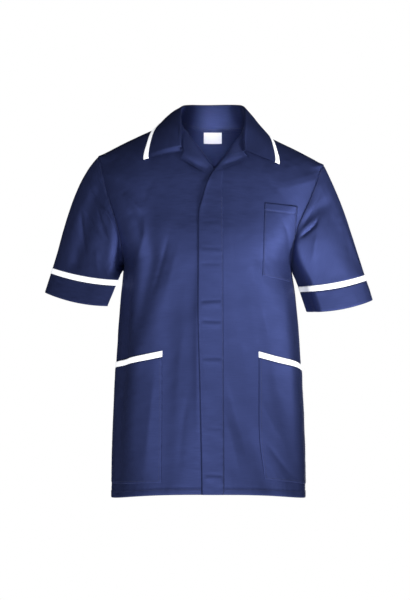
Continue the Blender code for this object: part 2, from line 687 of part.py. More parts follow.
def main():
    for old in list(bpy.data.objects):
        bpy.data.objects.remove(old, do_unlink=True)
    navy = material("navy_twill", (0.040, 0.055, 0.150), 0.85)
    white = material("white_tape", (0.80, 0.81, 0.84), 0.75)
    label = material("label_satin", (0.82, 0.82, 0.83), 0.6)

    fronts = {1: front_sheet(1, left_edge_curve, True), -1: front_sheet(-1, right_edge_curve, False)}
    back = back_sheet()
    for side, name in ((1, "left"), (-1, "right")):
        front = fronts[side]
        front_column, back_column = (-1, 0) if side > 0 else (0, -1)
        low = slice(0, len(LOW_LEVELS))
        share_outs(front, (low, front_column), back, (low, back_column))
        for k in range(SHOULDER_COLUMNS + 1):
            front_place, back_place = (-1 - k, k) if side > 0 else (k, -1 - k)
            share_outs(front, (-1, front_place), back, (-1, back_place))
        add_sleeve(side, name, front, back, navy, white)
    add_sheet("left_front", fronts[1], WALL, navy)
    add_sheet("right_front", fronts[-1], WALL, navy)
    add_sheet("back", back, WALL, navy)

    add_laid("placket", fronts[1], PLACKET, WALL, navy)
    add_laid("chest_pocket", fronts[1], CHEST_POCKET, WALL, navy)
    for side, name in ((1, "left"), (-1, "right")):
        outline = LOWER_POCKETS[side]
        add_laid(f"lower_pocket_{name}", fronts[side], outline, WALL, navy)
        (start_x, start_z), (end_x, end_z) = sorted(outline[2:4])
        tape = [
            (start_x, start_z + SEAM),
            (end_x, end_z + SEAM),
            (end_x, end_z + SEAM + TAPE_WIDTH),
            (start_x, start_z + SEAM + TAPE_WIDTH),
        ]
        add_laid(f"pocket_tape_{name}", fronts[side], tape, TAPE_WALL, white)
    add_laid("neck_label", back, LABEL, -LABEL_WALL, label, -WALL - LAID)

    collar, tape = collar_sheets()
    add_sheet("collar", collar, FIRM_WALL, navy)
    add_sheet("collar_tape", tape, TAPE_WALL, white)
    for side, name in ((1, "left"), (-1, "right")):
        add_sheet(f"lapel_{name}", lapel_sheet(side), FIRM_WALL, navy)


main()
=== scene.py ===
from math import pi, radians

import bmesh
import bpy
import numpy as np
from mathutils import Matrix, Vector, noise


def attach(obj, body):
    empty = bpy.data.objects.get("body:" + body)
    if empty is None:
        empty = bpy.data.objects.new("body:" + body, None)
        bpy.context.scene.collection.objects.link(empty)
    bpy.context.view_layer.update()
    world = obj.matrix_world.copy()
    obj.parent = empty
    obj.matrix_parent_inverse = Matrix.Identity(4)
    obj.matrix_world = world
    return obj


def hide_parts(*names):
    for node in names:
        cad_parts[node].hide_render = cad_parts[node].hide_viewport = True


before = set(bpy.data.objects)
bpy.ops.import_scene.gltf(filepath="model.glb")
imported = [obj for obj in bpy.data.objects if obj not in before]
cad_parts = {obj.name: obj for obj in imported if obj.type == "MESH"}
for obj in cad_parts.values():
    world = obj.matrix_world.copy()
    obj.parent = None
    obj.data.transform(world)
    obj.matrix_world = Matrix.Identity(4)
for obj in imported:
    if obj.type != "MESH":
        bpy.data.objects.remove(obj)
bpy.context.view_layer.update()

# A short-sleeved work tunic in navy twill with white tape, hollow and filled out as if worn.
# Metres, +Z up. The front faces -Y and the wearer's left is +X.
# Every piece of cloth is a fine shell on the form of its plain solid in the frame.

cloth = {
    "bodyWall": 0.0008,
    "firmWall": 0.0009,  # collar, lapels and cuffs
    "tapeWall": 0.0009,
    "laid": 0.0009,  # how high the visible side of a patch stands over the cloth under it
    "tapeWidth": 0.012,
    "tapeRelief": (0.0006, (0.0006, 0.0010), (0.0009, 0.0010)),
    "unevenness": 0.0006,  # of the whole surface, over the sizes below
    "unevenSizes": (0.045, 0.017),
}


# Curves and the body's form

def cubic(f, start, startWay, end, endWay):  # leaves start and reaches end along the two ways
    return (
        start * (1 + 2 * f) * (1 - f) ** 2
        + startWay * f * (1 - f) ** 2
        + end * f * f * (3 - 2 * f)
        + endWay * f * f * (f - 1)
    )


# A smooth curve through rows of (place, value, ...) that doesn't overshoot them
def smoothCurve(rows):
    rows = np.array(rows, float)
    place, value = rows[:, 0], rows[:, 1:]
    step = np.diff(place)
    slope = np.diff(value, axis=0) / step[:, None]
    tangent = np.zeros_like(value)
    tangent[0], tangent[-1] = slope[0], slope[-1]
    sameWay = slope[:-1] * slope[1:] > 0
    total = np.where(sameWay, slope[:-1] + slope[1:], 1.0)
    tangent[1:-1] = np.where(sameWay, 2 * slope[:-1] * slope[1:] / total, 0.0)

    def at(where):
        where = np.clip(np.asarray(where, float), place[0], place[-1])
        k = np.clip(np.searchsorted(place, where, "right") - 1, 0, len(step) - 1)
        h = step[k][..., None]
        f = ((where - place[k]) / step[k])[..., None]
        return cubic(f, value[k], tangent[k] * h, value[k + 1], tangent[k + 1] * h)

    return at


def oneCurve(rows):
    curve = smoothCurve(rows)
    return lambda where: curve(where)[..., 0]


def unit(v):
    return v / np.maximum(np.linalg.norm(v, axis=-1, keepdims=True), 1e-12)


def eased(value, start, end):  # 0 before start, 1 after end
    f = np.clip((value - start) / (end - start), 0, 1)
    return f * f * (3 - 2 * f)


def shares(count):  # even steps from 0 to 1
    return np.linspace(0, 1, count + 1)


def bell(away, width):  # 1 on a line, fading to both sides of it
    return np.exp(-((away / width) ** 2))


def groove(away, depth, width):
    return depth * bell(away, width)


def puckers(place, pitch, wander, longPitch):  # small waves of uneven length
    return np.sin(place / pitch + wander * np.sin(place / longPitch))


def turnedTo(way, target):  # turned round where it points away from the target
    return way * np.sign((way * target).sum(axis=-1, keepdims=True))


# Sections up the body: level frontZ sideZ backZ halfWidth frontDepth backDepth square centreX lean rise
sectionNames = "frontZ sideZ backZ halfWidth frontDepth backDepth square centreX lean rise".split()
bodyForm = smoothCurve([
    (0.00, -0.771, -0.7885, -0.787, 0.2060, 0.138, 0.124, 0.10, 0.0010, 0.0000, 2.5),
    (0.20, -0.640, -0.640, -0.640, 0.2020, 0.136, 0.119, 0.10, 0.0010, 0.0000, 2.5),
    (0.45, -0.470, -0.470, -0.470, 0.1935, 0.131, 0.109, 0.11, 0.0010, 0.0000, 2.5),
    (0.60, -0.372, -0.372, -0.372, 0.1860, 0.131, 0.111, 0.12, 0.0005, 0.0020, 2.5),
    (0.72, -0.292, -0.292, -0.292, 0.1780, 0.131, 0.116, 0.12, -0.0010, 0.0040, 2.5),
    (0.80, -0.240, -0.232, -0.236, 0.2080, 0.127, 0.119, 0.12, -0.0020, 0.0060, 2.3),
    (0.88, -0.185, -0.155, -0.168, 0.2340, 0.115, 0.115, 0.10, 0.0010, 0.0070, 2.0),
    (0.93, -0.140, -0.0777, -0.102, 0.2400, 0.104, 0.106, 0.08, 0.0060, 0.0090, 1.8),
    (0.935, -0.1335, -0.0717, -0.095, 0.2285, 0.1025, 0.104, 0.08, 0.0063, 0.0090, 1.77),
    (0.965, -0.095, -0.0358, -0.055, 0.1580, 0.093, 0.090, 0.06, 0.0080, 0.0090, 1.6),
    (1.00, -0.052, 0.0000, -0.0105, 0.0780, 0.075, 0.070, 0.05, 0.0100, 0.0090, 1.5),
])
body = {
    "underarm": 0.72,
    "soften": 0.018,  # the form is softened over this many levels between the shoulders' tips,
    "softSides": (0.90, 0.995),  # up to these shares of the half width
    "softLow": (0.895, 0.925),  # and between these levels
    "softHigh": (0.960, 0.980),
    "seamTurn": 0.0012,  # half a side seam, as an angle
    "neckX": 0.010,
    "foldRadius": 0.155,
    "foldEnd": 0.060,
    "lapLift": 0.0022,  # the left front laps over the right one by this much
    "lapFullX": 0.040,
    "lapEndX": 0.080,
    "topPull": 4.5,
    "seamDip": 0.0006,  # the cloth rolls in at a seam
    "seamDipWidth": 0.0018,
    "height": 0.79,  # from the hem to the neck seam's highest point
}
hem = {
    "depth": 0.0145,
    "rise": 0.0005,  # of the turned-up double cloth
    "sewnWidth": 0.0022,
    "edgeWidth": 0.0007,
    "pucker": 0.00018,
    "puckers": (0.0021, 3, 0.013),  # their pitch, and how it wanders
    "puckerLength": 0.009,
}


def sectionAt(level):
    return dict(zip(sectionNames, np.moveaxis(bodyForm(level), -1, 0)))


# Angle 0 is the front centre and grows towards +X; level is 0 at the hem and 1 at the neck seam
def plainForm(angle, level):
    angle, level = np.broadcast_arrays(np.asarray(angle, float), np.asarray(level, float))
    across, along = np.sin(angle), np.cos(angle)
    sharp = bodyForm(level)
    soft = sum(bodyForm(level + body["soften"] * k) for k in (-1.0, -0.5, 0.5, 1.0)) / 4
    share = 1 - eased(np.abs(across), *body["softSides"])
    share = share * eased(level, *body["softLow"]) * (1 - eased(level, *body["softHigh"]))
    c = dict(zip(sectionNames, np.moveaxis(sharp + (soft - sharp) * share[..., None], -1, 0)))
    front = along > 0
    depth = np.where(front, c["frontDepth"], c["backDepth"])
    middleZ = np.where(front, c["frontZ"], c["backZ"])
    sideZ = c["sideZ"] - c["lean"] * np.sign(across)
    x = c["centreX"] + c["halfWidth"] * across * (1 + c["square"] * along**2)
    y = -depth * along * (1 + c["square"] * across**2)
    z = middleZ + (sideZ - middleZ) * np.abs(across) ** c["rise"]
    return np.stack([x, y, z], axis=-1)


def outward(angle, level, step=3e-4):
    level = np.clip(level, 2 * step, 1 - 2 * step)
    around = plainForm(angle + step, level) - plainForm(angle - step, level)
    up = plainForm(angle, level + step) - plainForm(angle, level - step)
    return unit(np.cross(around, up))


# Looking for a place on the form: where it starts, how often it tries, and its largest steps
search = {"depth": 0.12, "height": 0.80, "rounds": 40, "step": 1e-4, "turn": 0.15, "climb": 0.1}


def angleAt(level, x, back=False):
    c = sectionAt(level)
    wanted = np.clip((x - c["centreX"]) / c["halfWidth"], -1, 1)
    sine = wanted
    for _ in range(search["rounds"]):
        sine = np.clip(wanted / (1 + c["square"] * (1 - sine**2)), -1, 1)
    angle = np.arcsin(sine)
    return pi - angle if back else angle


# The angle and level at which the plain form shows at x and z, from the front or from behind
def placeAt(x, z, back=False):
    x, z = np.broadcast_arrays(np.asarray(x, float), np.asarray(z, float))
    angle = np.arctan2(x, search["depth"])
    if back:
        angle = pi - angle
    level = np.clip(1 + z / search["height"], 0.02, 0.98)
    step = search["step"]
    for _ in range(search["rounds"]):
        here = plainForm(angle, level)
        byAngle = (plainForm(angle + step, level) - here) / step
        byLevel = (here - plainForm(angle, level - step)) / step
        dx, dz = x - here[..., 0], z - here[..., 2]
        area = byAngle[..., 0] * byLevel[..., 2] - byAngle[..., 2] * byLevel[..., 0]
        area = np.where(np.abs(area) < 1e-6, 1e-6, area)
        turn = (dx * byLevel[..., 2] - dz * byLevel[..., 0]) / area
        climb = (byAngle[..., 0] * dz - byAngle[..., 2] * dx) / area
        angle = angle + np.clip(turn, -search["turn"], search["turn"])
        level = np.clip(level + np.clip(climb, -search["climb"], search["climb"]), 0, 1)
    return angle, level


# Folds and creases

# Broad folds that the plain solids have too: turn z endTurn endZ width depth, in degrees and metres
bodyFolds = [
    (-33, -0.235, -47, -0.420, 0.018, -0.0045),
    (-22, -0.400, -24, -0.700, 0.022, -0.0035),
    (-48, -0.300, -50, -0.640, 0.024, 0.0040),
    (-62, -0.420, -64, -0.740, 0.024, -0.0045),
    (15, -0.380, 22, -0.560, 0.020, -0.0040),
    (33, -0.380, 44, -0.560, 0.020, -0.0045),
    (20, -0.640, 34, -0.750, 0.018, -0.0035),
    (56, -0.400, 66, -0.740, 0.024, 0.0040),
    (104, -0.360, 108, -0.760, 0.026, -0.0050),
    (126, -0.330, 136, -0.770, 0.028, 0.0055),
    (152, -0.260, 160, -0.770, 0.028, -0.0050),
    (-104, -0.380, -110, -0.760, 0.026, -0.0050),
    (-130, -0.300, -138, -0.770, 0.028, 0.0055),
    (-156, -0.340, -166, -0.770, 0.028, -0.0050),
]

# Creases as seen from the front: points (x, z), half width, height in their middle (a trough is
# negative), and a tilt that lifts the right side of the line over its left one
frontCreases = [
    ([(-0.181, -0.146), (-0.155, -0.172), (-0.130, -0.200)], 0.010, 0.0022, 0.0006),
    ([(-0.170, -0.180), (-0.150, -0.205), (-0.139, -0.250)], 0.011, -0.0024, 0.0004),
    ([(-0.134, -0.190), (-0.133, -0.225), (-0.146, -0.300), (-0.158, -0.372)], 0.012, 0.0024, 0.0010),
    ([(-0.080, -0.232), (-0.098, -0.300), (-0.122, -0.380)], 0.009, -0.0018, -0.0006),
    ([(-0.060, -0.250), (-0.076, -0.310), (-0.098, -0.390)], 0.012, 0.0010, 0.0002),
    ([(-0.162, -0.330), (-0.168, -0.440), (-0.172, -0.640)], 0.012, -0.0018, 0.0004),
    ([(-0.050, -0.420), (-0.062, -0.520), (-0.070, -0.650)], 0.014, 0.0010, 0.0003),
    ([(-0.0190, -0.270), (-0.0210, -0.480), (-0.0180, -0.720)], 0.0130, 0.0046, 0.0000),
    ([(0.0090, -0.105), (-0.0090, -0.145), (-0.0180, -0.210)], 0.0100, 0.0034, 0.0000),
    ([(-0.0560, -0.072), (-0.0260, -0.092), (0.0040, -0.104)], 0.0120, -0.0030, 0.0000),
    ([(0.0860, -0.072), (0.0480, -0.088), (0.0180, -0.098)], 0.0110, -0.0026, 0.0000),
    ([(-0.040, -0.560), (-0.054, -0.650), (-0.060, -0.755)], 0.010, -0.0010, 0.0002),
    ([(-0.110, -0.520), (-0.120, -0.620), (-0.132, -0.740)], 0.010, 0.0011, -0.0003),
    ([(0.048, -0.215), (0.053, -0.270), (0.056, -0.330)], 0.008, -0.0008, 0.0003),
    ([(0.052, -0.385), (0.062, -0.440), (0.077, -0.520)], 0.009, -0.0013, 0.0004),
    ([(0.1005, -0.284), (0.1087, -0.3185), (0.1293, -0.366)], 0.007, 0.0016, -0.0004),
    ([(0.090, -0.300), (0.100, -0.335), (0.116, -0.376)], 0.007, -0.0013, 0.0002),
    ([(0.114, -0.385), (0.124, -0.425), (0.1375, -0.475)], 0.009, -0.0014, 0.0003),
    ([(0.032, -0.528), (0.055, -0.610), (0.090, -0.7236)], 0.009, -0.0013, 0.0005),
    ([(0.034, -0.600), (0.050, -0.660), (0.068, -0.740)], 0.008, 0.0010, 0.0002),
    ([(0.117, -0.660), (0.145, -0.700), (0.176, -0.742)], 0.009, -0.0014, 0.0004),
    ([(0.100, -0.560), (0.128, -0.620), (0.160, -0.680)], 0.011, 0.0011, 0.0002),
    ([(0.150, -0.200), (0.166, -0.240), (0.170, -0.300)], 0.009, -0.0016, 0.0004),
    ([(0.120, -0.120), (0.150, -0.150), (0.176, -0.190)], 0.014, -0.0014, 0.0003),
    ([(0.160, -0.440), (0.170, -0.540), (0.178, -0.700)], 0.013, 0.0014, 0.0004),
    ([(-0.110, -0.120), (-0.128, -0.150), (-0.134, -0.185)], 0.016, -0.0012, 0.0003),
]
# The same for the back, also in (x, z)
backCreases = [
    ([(0.178, -0.180), (0.150, -0.235), (0.140, -0.310)], 0.012, -0.0022, 0.0004),
    ([(0.168, -0.255), (0.140, -0.300), (0.110, -0.370)], 0.010, 0.0018, -0.0004),
    ([(0.160, -0.310), (0.126, -0.355), (0.080, -0.400)], 0.011, -0.0018, 0.0005),
    ([(-0.172, -0.190), (-0.146, -0.250), (-0.134, -0.330)], 0.012, -0.0020, -0.0004),
    ([(-0.164, -0.270), (-0.128, -0.320), (-0.090, -0.380)], 0.010, 0.0016, 0.0003),
    ([(-0.165, -0.330), (-0.120, -0.365), (-0.060, -0.395)], 0.012, -0.0016, 0.0003),
    ([(0.040, -0.060), (0.062, -0.120), (0.070, -0.200)], 0.016, 0.0012, 0.0003),
    ([(-0.030, -0.055), (-0.050, -0.120), (-0.052, -0.210)], 0.016, 0.0012, -0.0003),
    ([(0.060, -0.380), (0.052, -0.480), (0.064, -0.600)], 0.014, -0.0016, 0.0004),
    ([(-0.028, -0.400), (-0.040, -0.500), (-0.034, -0.640)], 0.015, 0.0014, 0.0003),
    ([(-0.095, -0.430), (-0.108, -0.540), (-0.100, -0.700)], 0.013, -0.0016, 0.0003),
    ([(0.110, -0.450), (0.124, -0.560), (0.118, -0.730)], 0.012, 0.0014, -0.0004),
    ([(0.012, -0.560), (0.006, -0.650), (0.016, -0.760)], 0.014, -0.0013, 0.0002),
    ([(-0.140, -0.560), (-0.150, -0.650), (-0.142, -0.760)], 0.011, 0.0012, 0.0003),
]
# Creases of each sleeve, as seen from the front, and similar ones behind
sleeveCreases = {
    -1: {
        "front": [
            ([(-0.2386, -0.1085), (-0.2256, -0.1319), (-0.2073, -0.1632)], 0.0042, -0.0030, 0.0008),
            ([(-0.2543, -0.1294), (-0.243, -0.150), (-0.2309, -0.1711)], 0.0044, -0.0024, 0.0008),
            ([(-0.2309, -0.1711), (-0.2073, -0.1945), (-0.1943, -0.2206)], 0.0036, 0.0030, 0.0000),
            ([(-0.2334, -0.1776), (-0.2229, -0.2102), (-0.2073, -0.2467)], 0.0046, -0.0034, 0.0008),
            ([(-0.2687, -0.1789), (-0.2661, -0.2258), (-0.2517, -0.2937)], 0.0055, -0.0034, 0.0014),
            ([(-0.2661, -0.1789), (-0.246, -0.208), (-0.2256, -0.2384)], 0.0038, -0.0022, 0.0006),
            ([(-0.236, -0.262), (-0.232, -0.290), (-0.228, -0.320)], 0.0080, 0.0012, 0.0003),
        ],
        "back": [
            ([(-0.232, -0.120), (-0.220, -0.160), (-0.206, -0.205)], 0.0080, -0.0022, 0.0004),
            ([(-0.262, -0.170), (-0.244, -0.215), (-0.222, -0.262)], 0.0075, -0.0018, 0.0005),
            ([(-0.286, -0.220), (-0.270, -0.265), (-0.252, -0.305)], 0.0080, 0.0015, 0.0003),
            ([(-0.208, -0.250), (-0.204, -0.285), (-0.206, -0.322)], 0.0080, -0.0026, 0.0003),
        ],
    },
    1: {
        "front": [
            ([(0.2312, -0.1997), (0.2233, -0.2154), (0.2024, -0.2338), (0.1890, -0.2442)],
             0.0042, -0.0048, 0.0006),
            ([(0.222, -0.200), (0.206, -0.216), (0.192, -0.228)], 0.0050, 0.0014, 0.0000),
            ([(0.2755, -0.1862), (0.280, -0.209), (0.2834, -0.2311)], 0.0080, 0.0014, 0.0004),
            ([(0.2260, -0.232), (0.2200, -0.262), (0.2150, -0.310)], 0.0090, 0.0016, 0.0003),
            ([(0.2520, -0.150), (0.2560, -0.185), (0.2480, -0.225)], 0.0090, -0.0012, 0.0004),
            ([(0.2980, -0.240), (0.3000, -0.275), (0.2960, -0.310)], 0.0090, -0.0012, 0.0003),
        ],
        "back": [
            ([(0.236, -0.130), (0.226, -0.170), (0.208, -0.215)], 0.0080, -0.0022, 0.0004),
            ([(0.262, -0.170), (0.246, -0.220), (0.222, -0.270)], 0.0075, -0.0018, 0.0005),
            ([(0.292, -0.220), (0.278, -0.268), (0.256, -0.312)], 0.0080, 0.0015, 0.0003),
            ([(0.206, -0.260), (0.206, -0.300), (0.204, -0.336)], 0.0080, -0.0026, 0.0003),
        ],
    },
}


def foldHeight(folds, radius, angle, z):
    roundIt = np.asarray(angle) * radius
    height = np.zeros_like(roundIt)
    for turn, startZ, endTurn, endZ, width, depth in folds:
        startX, endX = radians(turn) * radius, radians(endTurn) * radius
        length = np.hypot(endX - startX, endZ - startZ)
        runX, runZ = (endX - startX) / length, (endZ - startZ) / length
        along = (roundIt - startX) * runX + (z - startZ) * runZ
        off = (roundIt - startX) * runZ - (z - startZ) * runX
        past = np.maximum(np.maximum(-along, along - length), 0.0) / body["foldEnd"]
        height = height + depth * np.exp(-((off / width) ** 2) - past**2)
    return height


crease = {
    "round": 0.30,  # how round its line is, as a share of its width
    "grown": 0.35,  # it has its full height from this share of its length
    "fading": 0.62,  # to this one,
    "least": 0.15,  # and this share of it at its ends
    "startWidth": 0.75,  # its width at its start, as a share,
    "widening": 0.5,  # and what it gains by its end
    "side": 0.62,  # how far its sides reach, as a share of its width
    "tiltEnd": 1.5,  # its tilt stops this many widths away
}


# How far a set of creases moves the cloth out at each x and z
def creaseHeight(creases, x, z):
    height = np.zeros(np.broadcast(x, z).shape)
    for points, width, depth, tilt in creases:
        count = len(points)
        line = smoothCurve([(k, *p) for k, p in enumerate(points)])(np.linspace(0, count - 1, 6 * count))
        best = np.full(height.shape, 9.0)
        offset, place = np.zeros(height.shape), np.zeros(height.shape)
        for k, ((ax, az), (bx, bz)) in enumerate(zip(line, line[1:])):
            dx, dz = bx - ax, bz - az
            f = np.clip(((x - ax) * dx + (z - az) * dz) / (dx * dx + dz * dz), 0, 1)
            away = np.hypot(x - ax - f * dx, z - az - f * dz)
            side = (x - ax) * -dz + (z - az) * dx
            nearer = away < best
            best = np.where(nearer, away, best)
            offset = np.where(nearer, np.sign(side) * away, offset)
            place = np.where(nearer, (k + f) / (len(line) - 1), place)
        whole = eased(place, 0.0, crease["grown"]) * (1 - eased(place, crease["fading"], 1.0))
        ends = whole * (1 - crease["least"]) + crease["least"]
        grow = width * (crease["startWidth"] + crease["widening"] * place)
        crest = crease["round"] * grow
        profile = np.exp(-(np.sqrt(best**2 + crest**2) - crest) / (crease["side"] * grow))
        tilted = tilt * np.clip(offset / grow, -crease["tiltEnd"], crease["tiltEnd"])
        height += ends * profile * (depth + tilted)
    return height


# The creases for the front where the cloth faces it, and those for the back where it faces away
def creasesOn(points, front, back, facing, full):
    x, z = points[..., 0], points[..., 2]
    seen = creaseHeight(front, x, z) * eased(facing, 0.05, full)
    return seen + creaseHeight(back, x, z) * eased(-facing, 0.05, full)


def unevenness(points, amount=1.0):
    flat = points.reshape(-1, 3)
    total = np.zeros(len(flat))
    for size, share in zip(cloth["unevenSizes"], (1.0, 0.35)):
        total += share * np.array([noise.noise(Vector(p / size)) for p in flat])
    return (total * cloth["unevenness"] * amount).reshape(points.shape[:-1])


# The cloth's visible side, with all its folds, and the directions out of it
def clothForm(angle, level):
    point = plainForm(angle, level)
    out = outward(angle, level)
    turn = (np.asarray(angle) + pi) % (2 * pi) - pi
    height = foldHeight(bodyFolds, body["foldRadius"], turn, point[..., 2])
    height = height + creasesOn(point, frontCreases, backCreases, np.cos(turn), 0.30) + unevenness(point)
    return point + out * height[..., None], out


# A front's surface, lifted: side 1 is the lapping left front
def onFront(side, angle, level, height):
    point, out = clothForm(angle, level)
    if side > 0:
        height = height + body["lapLift"] * (1 - eased(point[..., 0], body["lapFullX"], body["lapEndX"]))
    return point + out * np.asarray(height)[..., None]


# Finishes

# A socket that takes part in Python expressions
class Wire:
    def __init__(self, shader, socket):
        self.shader, self.socket = shader, socket

    def maths(self, operation, *values):
        return self.shader.add("ShaderNodeMath", {"operation": operation}, dict(enumerate(values)))

    def __add__(self, other):
        return self.maths("ADD", self, other)

    def __sub__(self, other):
        return self.maths("SUBTRACT", self, other)

    def __rsub__(self, other):
        return self.maths("SUBTRACT", other, self)

    def __mul__(self, other):
        return self.maths("MULTIPLY", self, other)

    __radd__, __rmul__ = __add__, __mul__

    def sine(self):
        return self.maths("SINE", self)


class Shader:
    def __init__(self, name, roughness, **constants):
        self.material = bpy.data.materials.new(name)
        self.material.use_nodes = True
        self.tree = self.material.node_tree
        self.surface = self.tree.nodes["Principled BSDF"]
        self.surface.inputs["Roughness"].default_value = roughness
        for socket, value in constants.items():
            self.surface.inputs[socket].default_value = value

    # Any node: its type, its settings, and the values or links of its sockets
    def add(self, kind, settings=None, sockets=None, output=0):
        node = self.tree.nodes.new(kind)
        for name, value in (settings or {}).items():
            setattr(node, name, value)
        for name, value in (sockets or {}).items():
            self.plug(node.inputs[name], value)
        return Wire(self, node.outputs[output])

    def plug(self, socket, value):
        if isinstance(value, Wire):
            self.tree.links.new(value.socket, socket)
        else:
            socket.default_value = value

    def paint(self, **sockets):
        for name, value in sockets.items():
            self.plug(self.surface.inputs[name.replace("_", " ")], value)
        return self.material


def mixed(shader, factor, colourA, colourB):
    settings = {"data_type": "RGBA", "clamp_factor": True}
    return shader.add("ShaderNodeMix", settings, {0: factor, 6: colourA, 7: colourB}, output=2)


twill = {
    "colour": (0.0052, 0.0072, 0.0235, 1),
    "shade": (0.0045, 0.0062, 0.0205, 1),
    "worn": (0.0085, 0.0115, 0.0330, 1),
    "surface": {
        "IOR": 1.8,
        "Specular IOR Level": 0.95,
        "Specular Tint": (0.25, 0.34, 1.0, 1),
        "Sheen Weight": 0.004,
        "Sheen Roughness": 0.45,
        "Sheen Tint": (0.35, 0.48, 1.0, 1),
    },
    "ribPitch": 0.0011,  # of the twill's diagonal ribs
    "yarnPitch": 0.00055,
    "slubs": (38, 380),  # to the metre, across and along the cloth
    "patches": 14.0,
    "roughness": 0.65,
    "relief": 0.00009,
}
tapeFinish = {
    "colour": (0.86, 0.87, 0.90, 1),
    "shade": (0.79, 0.81, 0.85, 1),
    "surface": {"Sheen Weight": 0.15},
    "ribPitch": 0.0009,
    "relief": 0.00008,
    "roughness": 0.72,
}
labelFinish = {
    **tapeFinish,
    "colour": (0.84, 0.81, 0.89, 1),
    "shade": (0.77, 0.74, 0.82, 1),
    "ribPitch": 0.0006,
    "roughness": 0.45,
}
threadColour = (0.020, 0.028, 0.085, 1)


def bumped(shader, strength, distance, height):
    sockets = {"Strength": strength, "Distance": distance, "Height": height}
    return shader.add("ShaderNodeBump", sockets=sockets)


def clothWays(shader):  # across and along the cloth, in metres
    where = shader.add("ShaderNodeUVMap", {"uv_map": "cloth"})
    return [shader.add("ShaderNodeSeparateXYZ", sockets={0: where}, output=k) for k in (0, 1)]


def wave(place, pitch):  # from 0 to 1
    return (place * (2 * pi / pitch)).sine() * 0.5 + 0.5


def twillMaterial(name, settings):
    shader = Shader(name, settings["roughness"], **settings["surface"])
    across, along = clothWays(shader)
    place = shader.add("ShaderNodeTexCoord", output=3)
    weave = wave(across + along, settings["ribPitch"]) * 0.7 + wave(along, settings["yarnPitch"]) * 0.3
    slubWide, slubHigh = settings["slubs"]
    weft = shader.add("ShaderNodeCombineXYZ", sockets={0: across * slubWide, 1: along * slubHigh})
    slubs = shader.add("ShaderNodeTexNoise", sockets={"Vector": weft, "Scale": 1.0, "Detail": 3.0})
    spots = {"Vector": place, "Scale": settings["patches"], "Detail": 4.0}
    patches = shader.add("ShaderNodeTexNoise", sockets=spots)
    tone = mixed(shader, patches * 1.6 - 0.3, settings["shade"], settings["colour"])
    tone = mixed(shader, weave * 0.26 + slubs * 1.1 - 0.42, tone, settings["worn"])
    bump = bumped(shader, 0.35, settings["relief"], weave + slubs * 1.6)
    rough = slubs * 0.30 + (settings["roughness"] - 0.15)
    return shader.paint(Base_Color=tone, Roughness=rough, Normal=bump)


def tapeMaterial(name, settings):
    shader = Shader(name, settings["roughness"], **settings["surface"])
    across, along = clothWays(shader)
    ribs, yarns = wave(along, settings["ribPitch"]), wave(across, settings["ribPitch"])
    tone = mixed(shader, ribs * 0.25 + yarns * 0.25, settings["colour"], settings["shade"])
    bump = bumped(shader, 0.4, settings["relief"], ribs + yarns)
    return shader.paint(Base_Color=tone, Normal=bump)


finishes = {
    "navy_twill": twillMaterial("navyTwill", twill),
    "white_tape": tapeMaterial("whiteTape", tapeFinish),
    "label_satin": tapeMaterial("labelSatin", labelFinish),
}
threadNavy = Shader("threadNavy", 0.6).paint(Base_Color=threadColour)
print("finishes ready")


# Making a piece from a grid of points on its visible side. Rows run up or along it, and columns to
# the right as seen from that side. A ring's last column is its first one again.

def lengthsAlong(points, axis):
    step = np.linalg.norm(np.diff(points, axis=axis), axis=-1)
    start = np.zeros_like(np.take(step, [0], axis=axis))
    return np.concatenate([start, np.cumsum(step, axis=axis)], axis=axis)


def gridMesh(points, ring=False):
    if ring:
        points = np.concatenate([points, points[:, :1]], axis=1)
    rows, columns = points.shape[:2]
    across, along = lengthsAlong(points, 1), lengthsAlong(points, 0)
    mesh = bmesh.new()
    bmesh.ops.create_grid(mesh, x_segments=columns - 1, y_segments=rows - 1, size=0.5)
    mesh.verts.ensure_lookup_table()
    flat = np.array([v.co[:2] for v in mesh.verts]) + 0.5
    column = np.rint(flat[:, 0] * (columns - 1)).astype(int)
    row = np.rint(flat[:, 1] * (rows - 1)).astype(int)
    uvs = np.stack([across[row, column], along[row, column]], axis=-1).tolist()
    places = points[row, column].tolist()
    uvLayer = mesh.loops.layers.uv.new("cloth")
    for face in mesh.faces:
        face.smooth = True
        for loop in face.loops:
            loop[uvLayer].uv = uvs[loop.vert.index]
    for vert, place in zip(mesh.verts, places):
        vert.co = place
    if ring:
        bmesh.ops.remove_doubles(mesh, verts=mesh.verts, dist=1e-6)
    return mesh


def newObject(name, mesh, material):
    data = bpy.data.meshes.new(name)
    mesh.to_mesh(data)
    mesh.free()
    data.materials.append(material)
    made = bpy.data.objects.new(name, data)
    bpy.context.scene.collection.objects.link(made)
    return made


def addPiece(name, mesh, slot, nodes=(), material=None):
    piece = newObject(name, mesh, material or finishes[slot])
    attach(piece, "root")
    if nodes:
        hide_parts(*nodes)
    return piece


# A sheet of cloth with its wall. A thin edge keeps that share of the wall, and is crisp.
def addCloth(node, points, wall, slot, name=None, ring=False, thinEdge=1.0):
    name = name or node + "Cloth"
    mesh = gridMesh(points, ring)
    inside = [v.index for v in mesh.verts if not v.is_boundary]
    for edge in mesh.edges:
        edge.smooth = thinEdge == 1 or not edge.is_boundary
    piece = addPiece(name, mesh, slot, [node])
    wallModifier = piece.modifiers.new("wall", "SOLIDIFY")
    wallModifier.thickness = wall
    wallModifier.offset = -1
    if thinEdge < 1:
        piece.vertex_groups.new(name="inside").add(inside, 1.0, "REPLACE")
        wallModifier.vertex_group = "inside"
        wallModifier.thickness_vertex_group = thinEdge
    across = lengthsAlong(points, 1)[:, -1].max()
    along = lengthsAlong(points, 0)[-1].max()
    print(name, points.shape[:2], "widest", round(across, 3), "longest", round(along, 3))


# A row of stitches: one thread that rises over the cloth and dips into it
stitches = {"pitch": 0.0034, "radius": 0.00032, "sides": 5, "pointsEach": 6, "rise": 0.00022, "sink": 0.0008}
threadRows = []


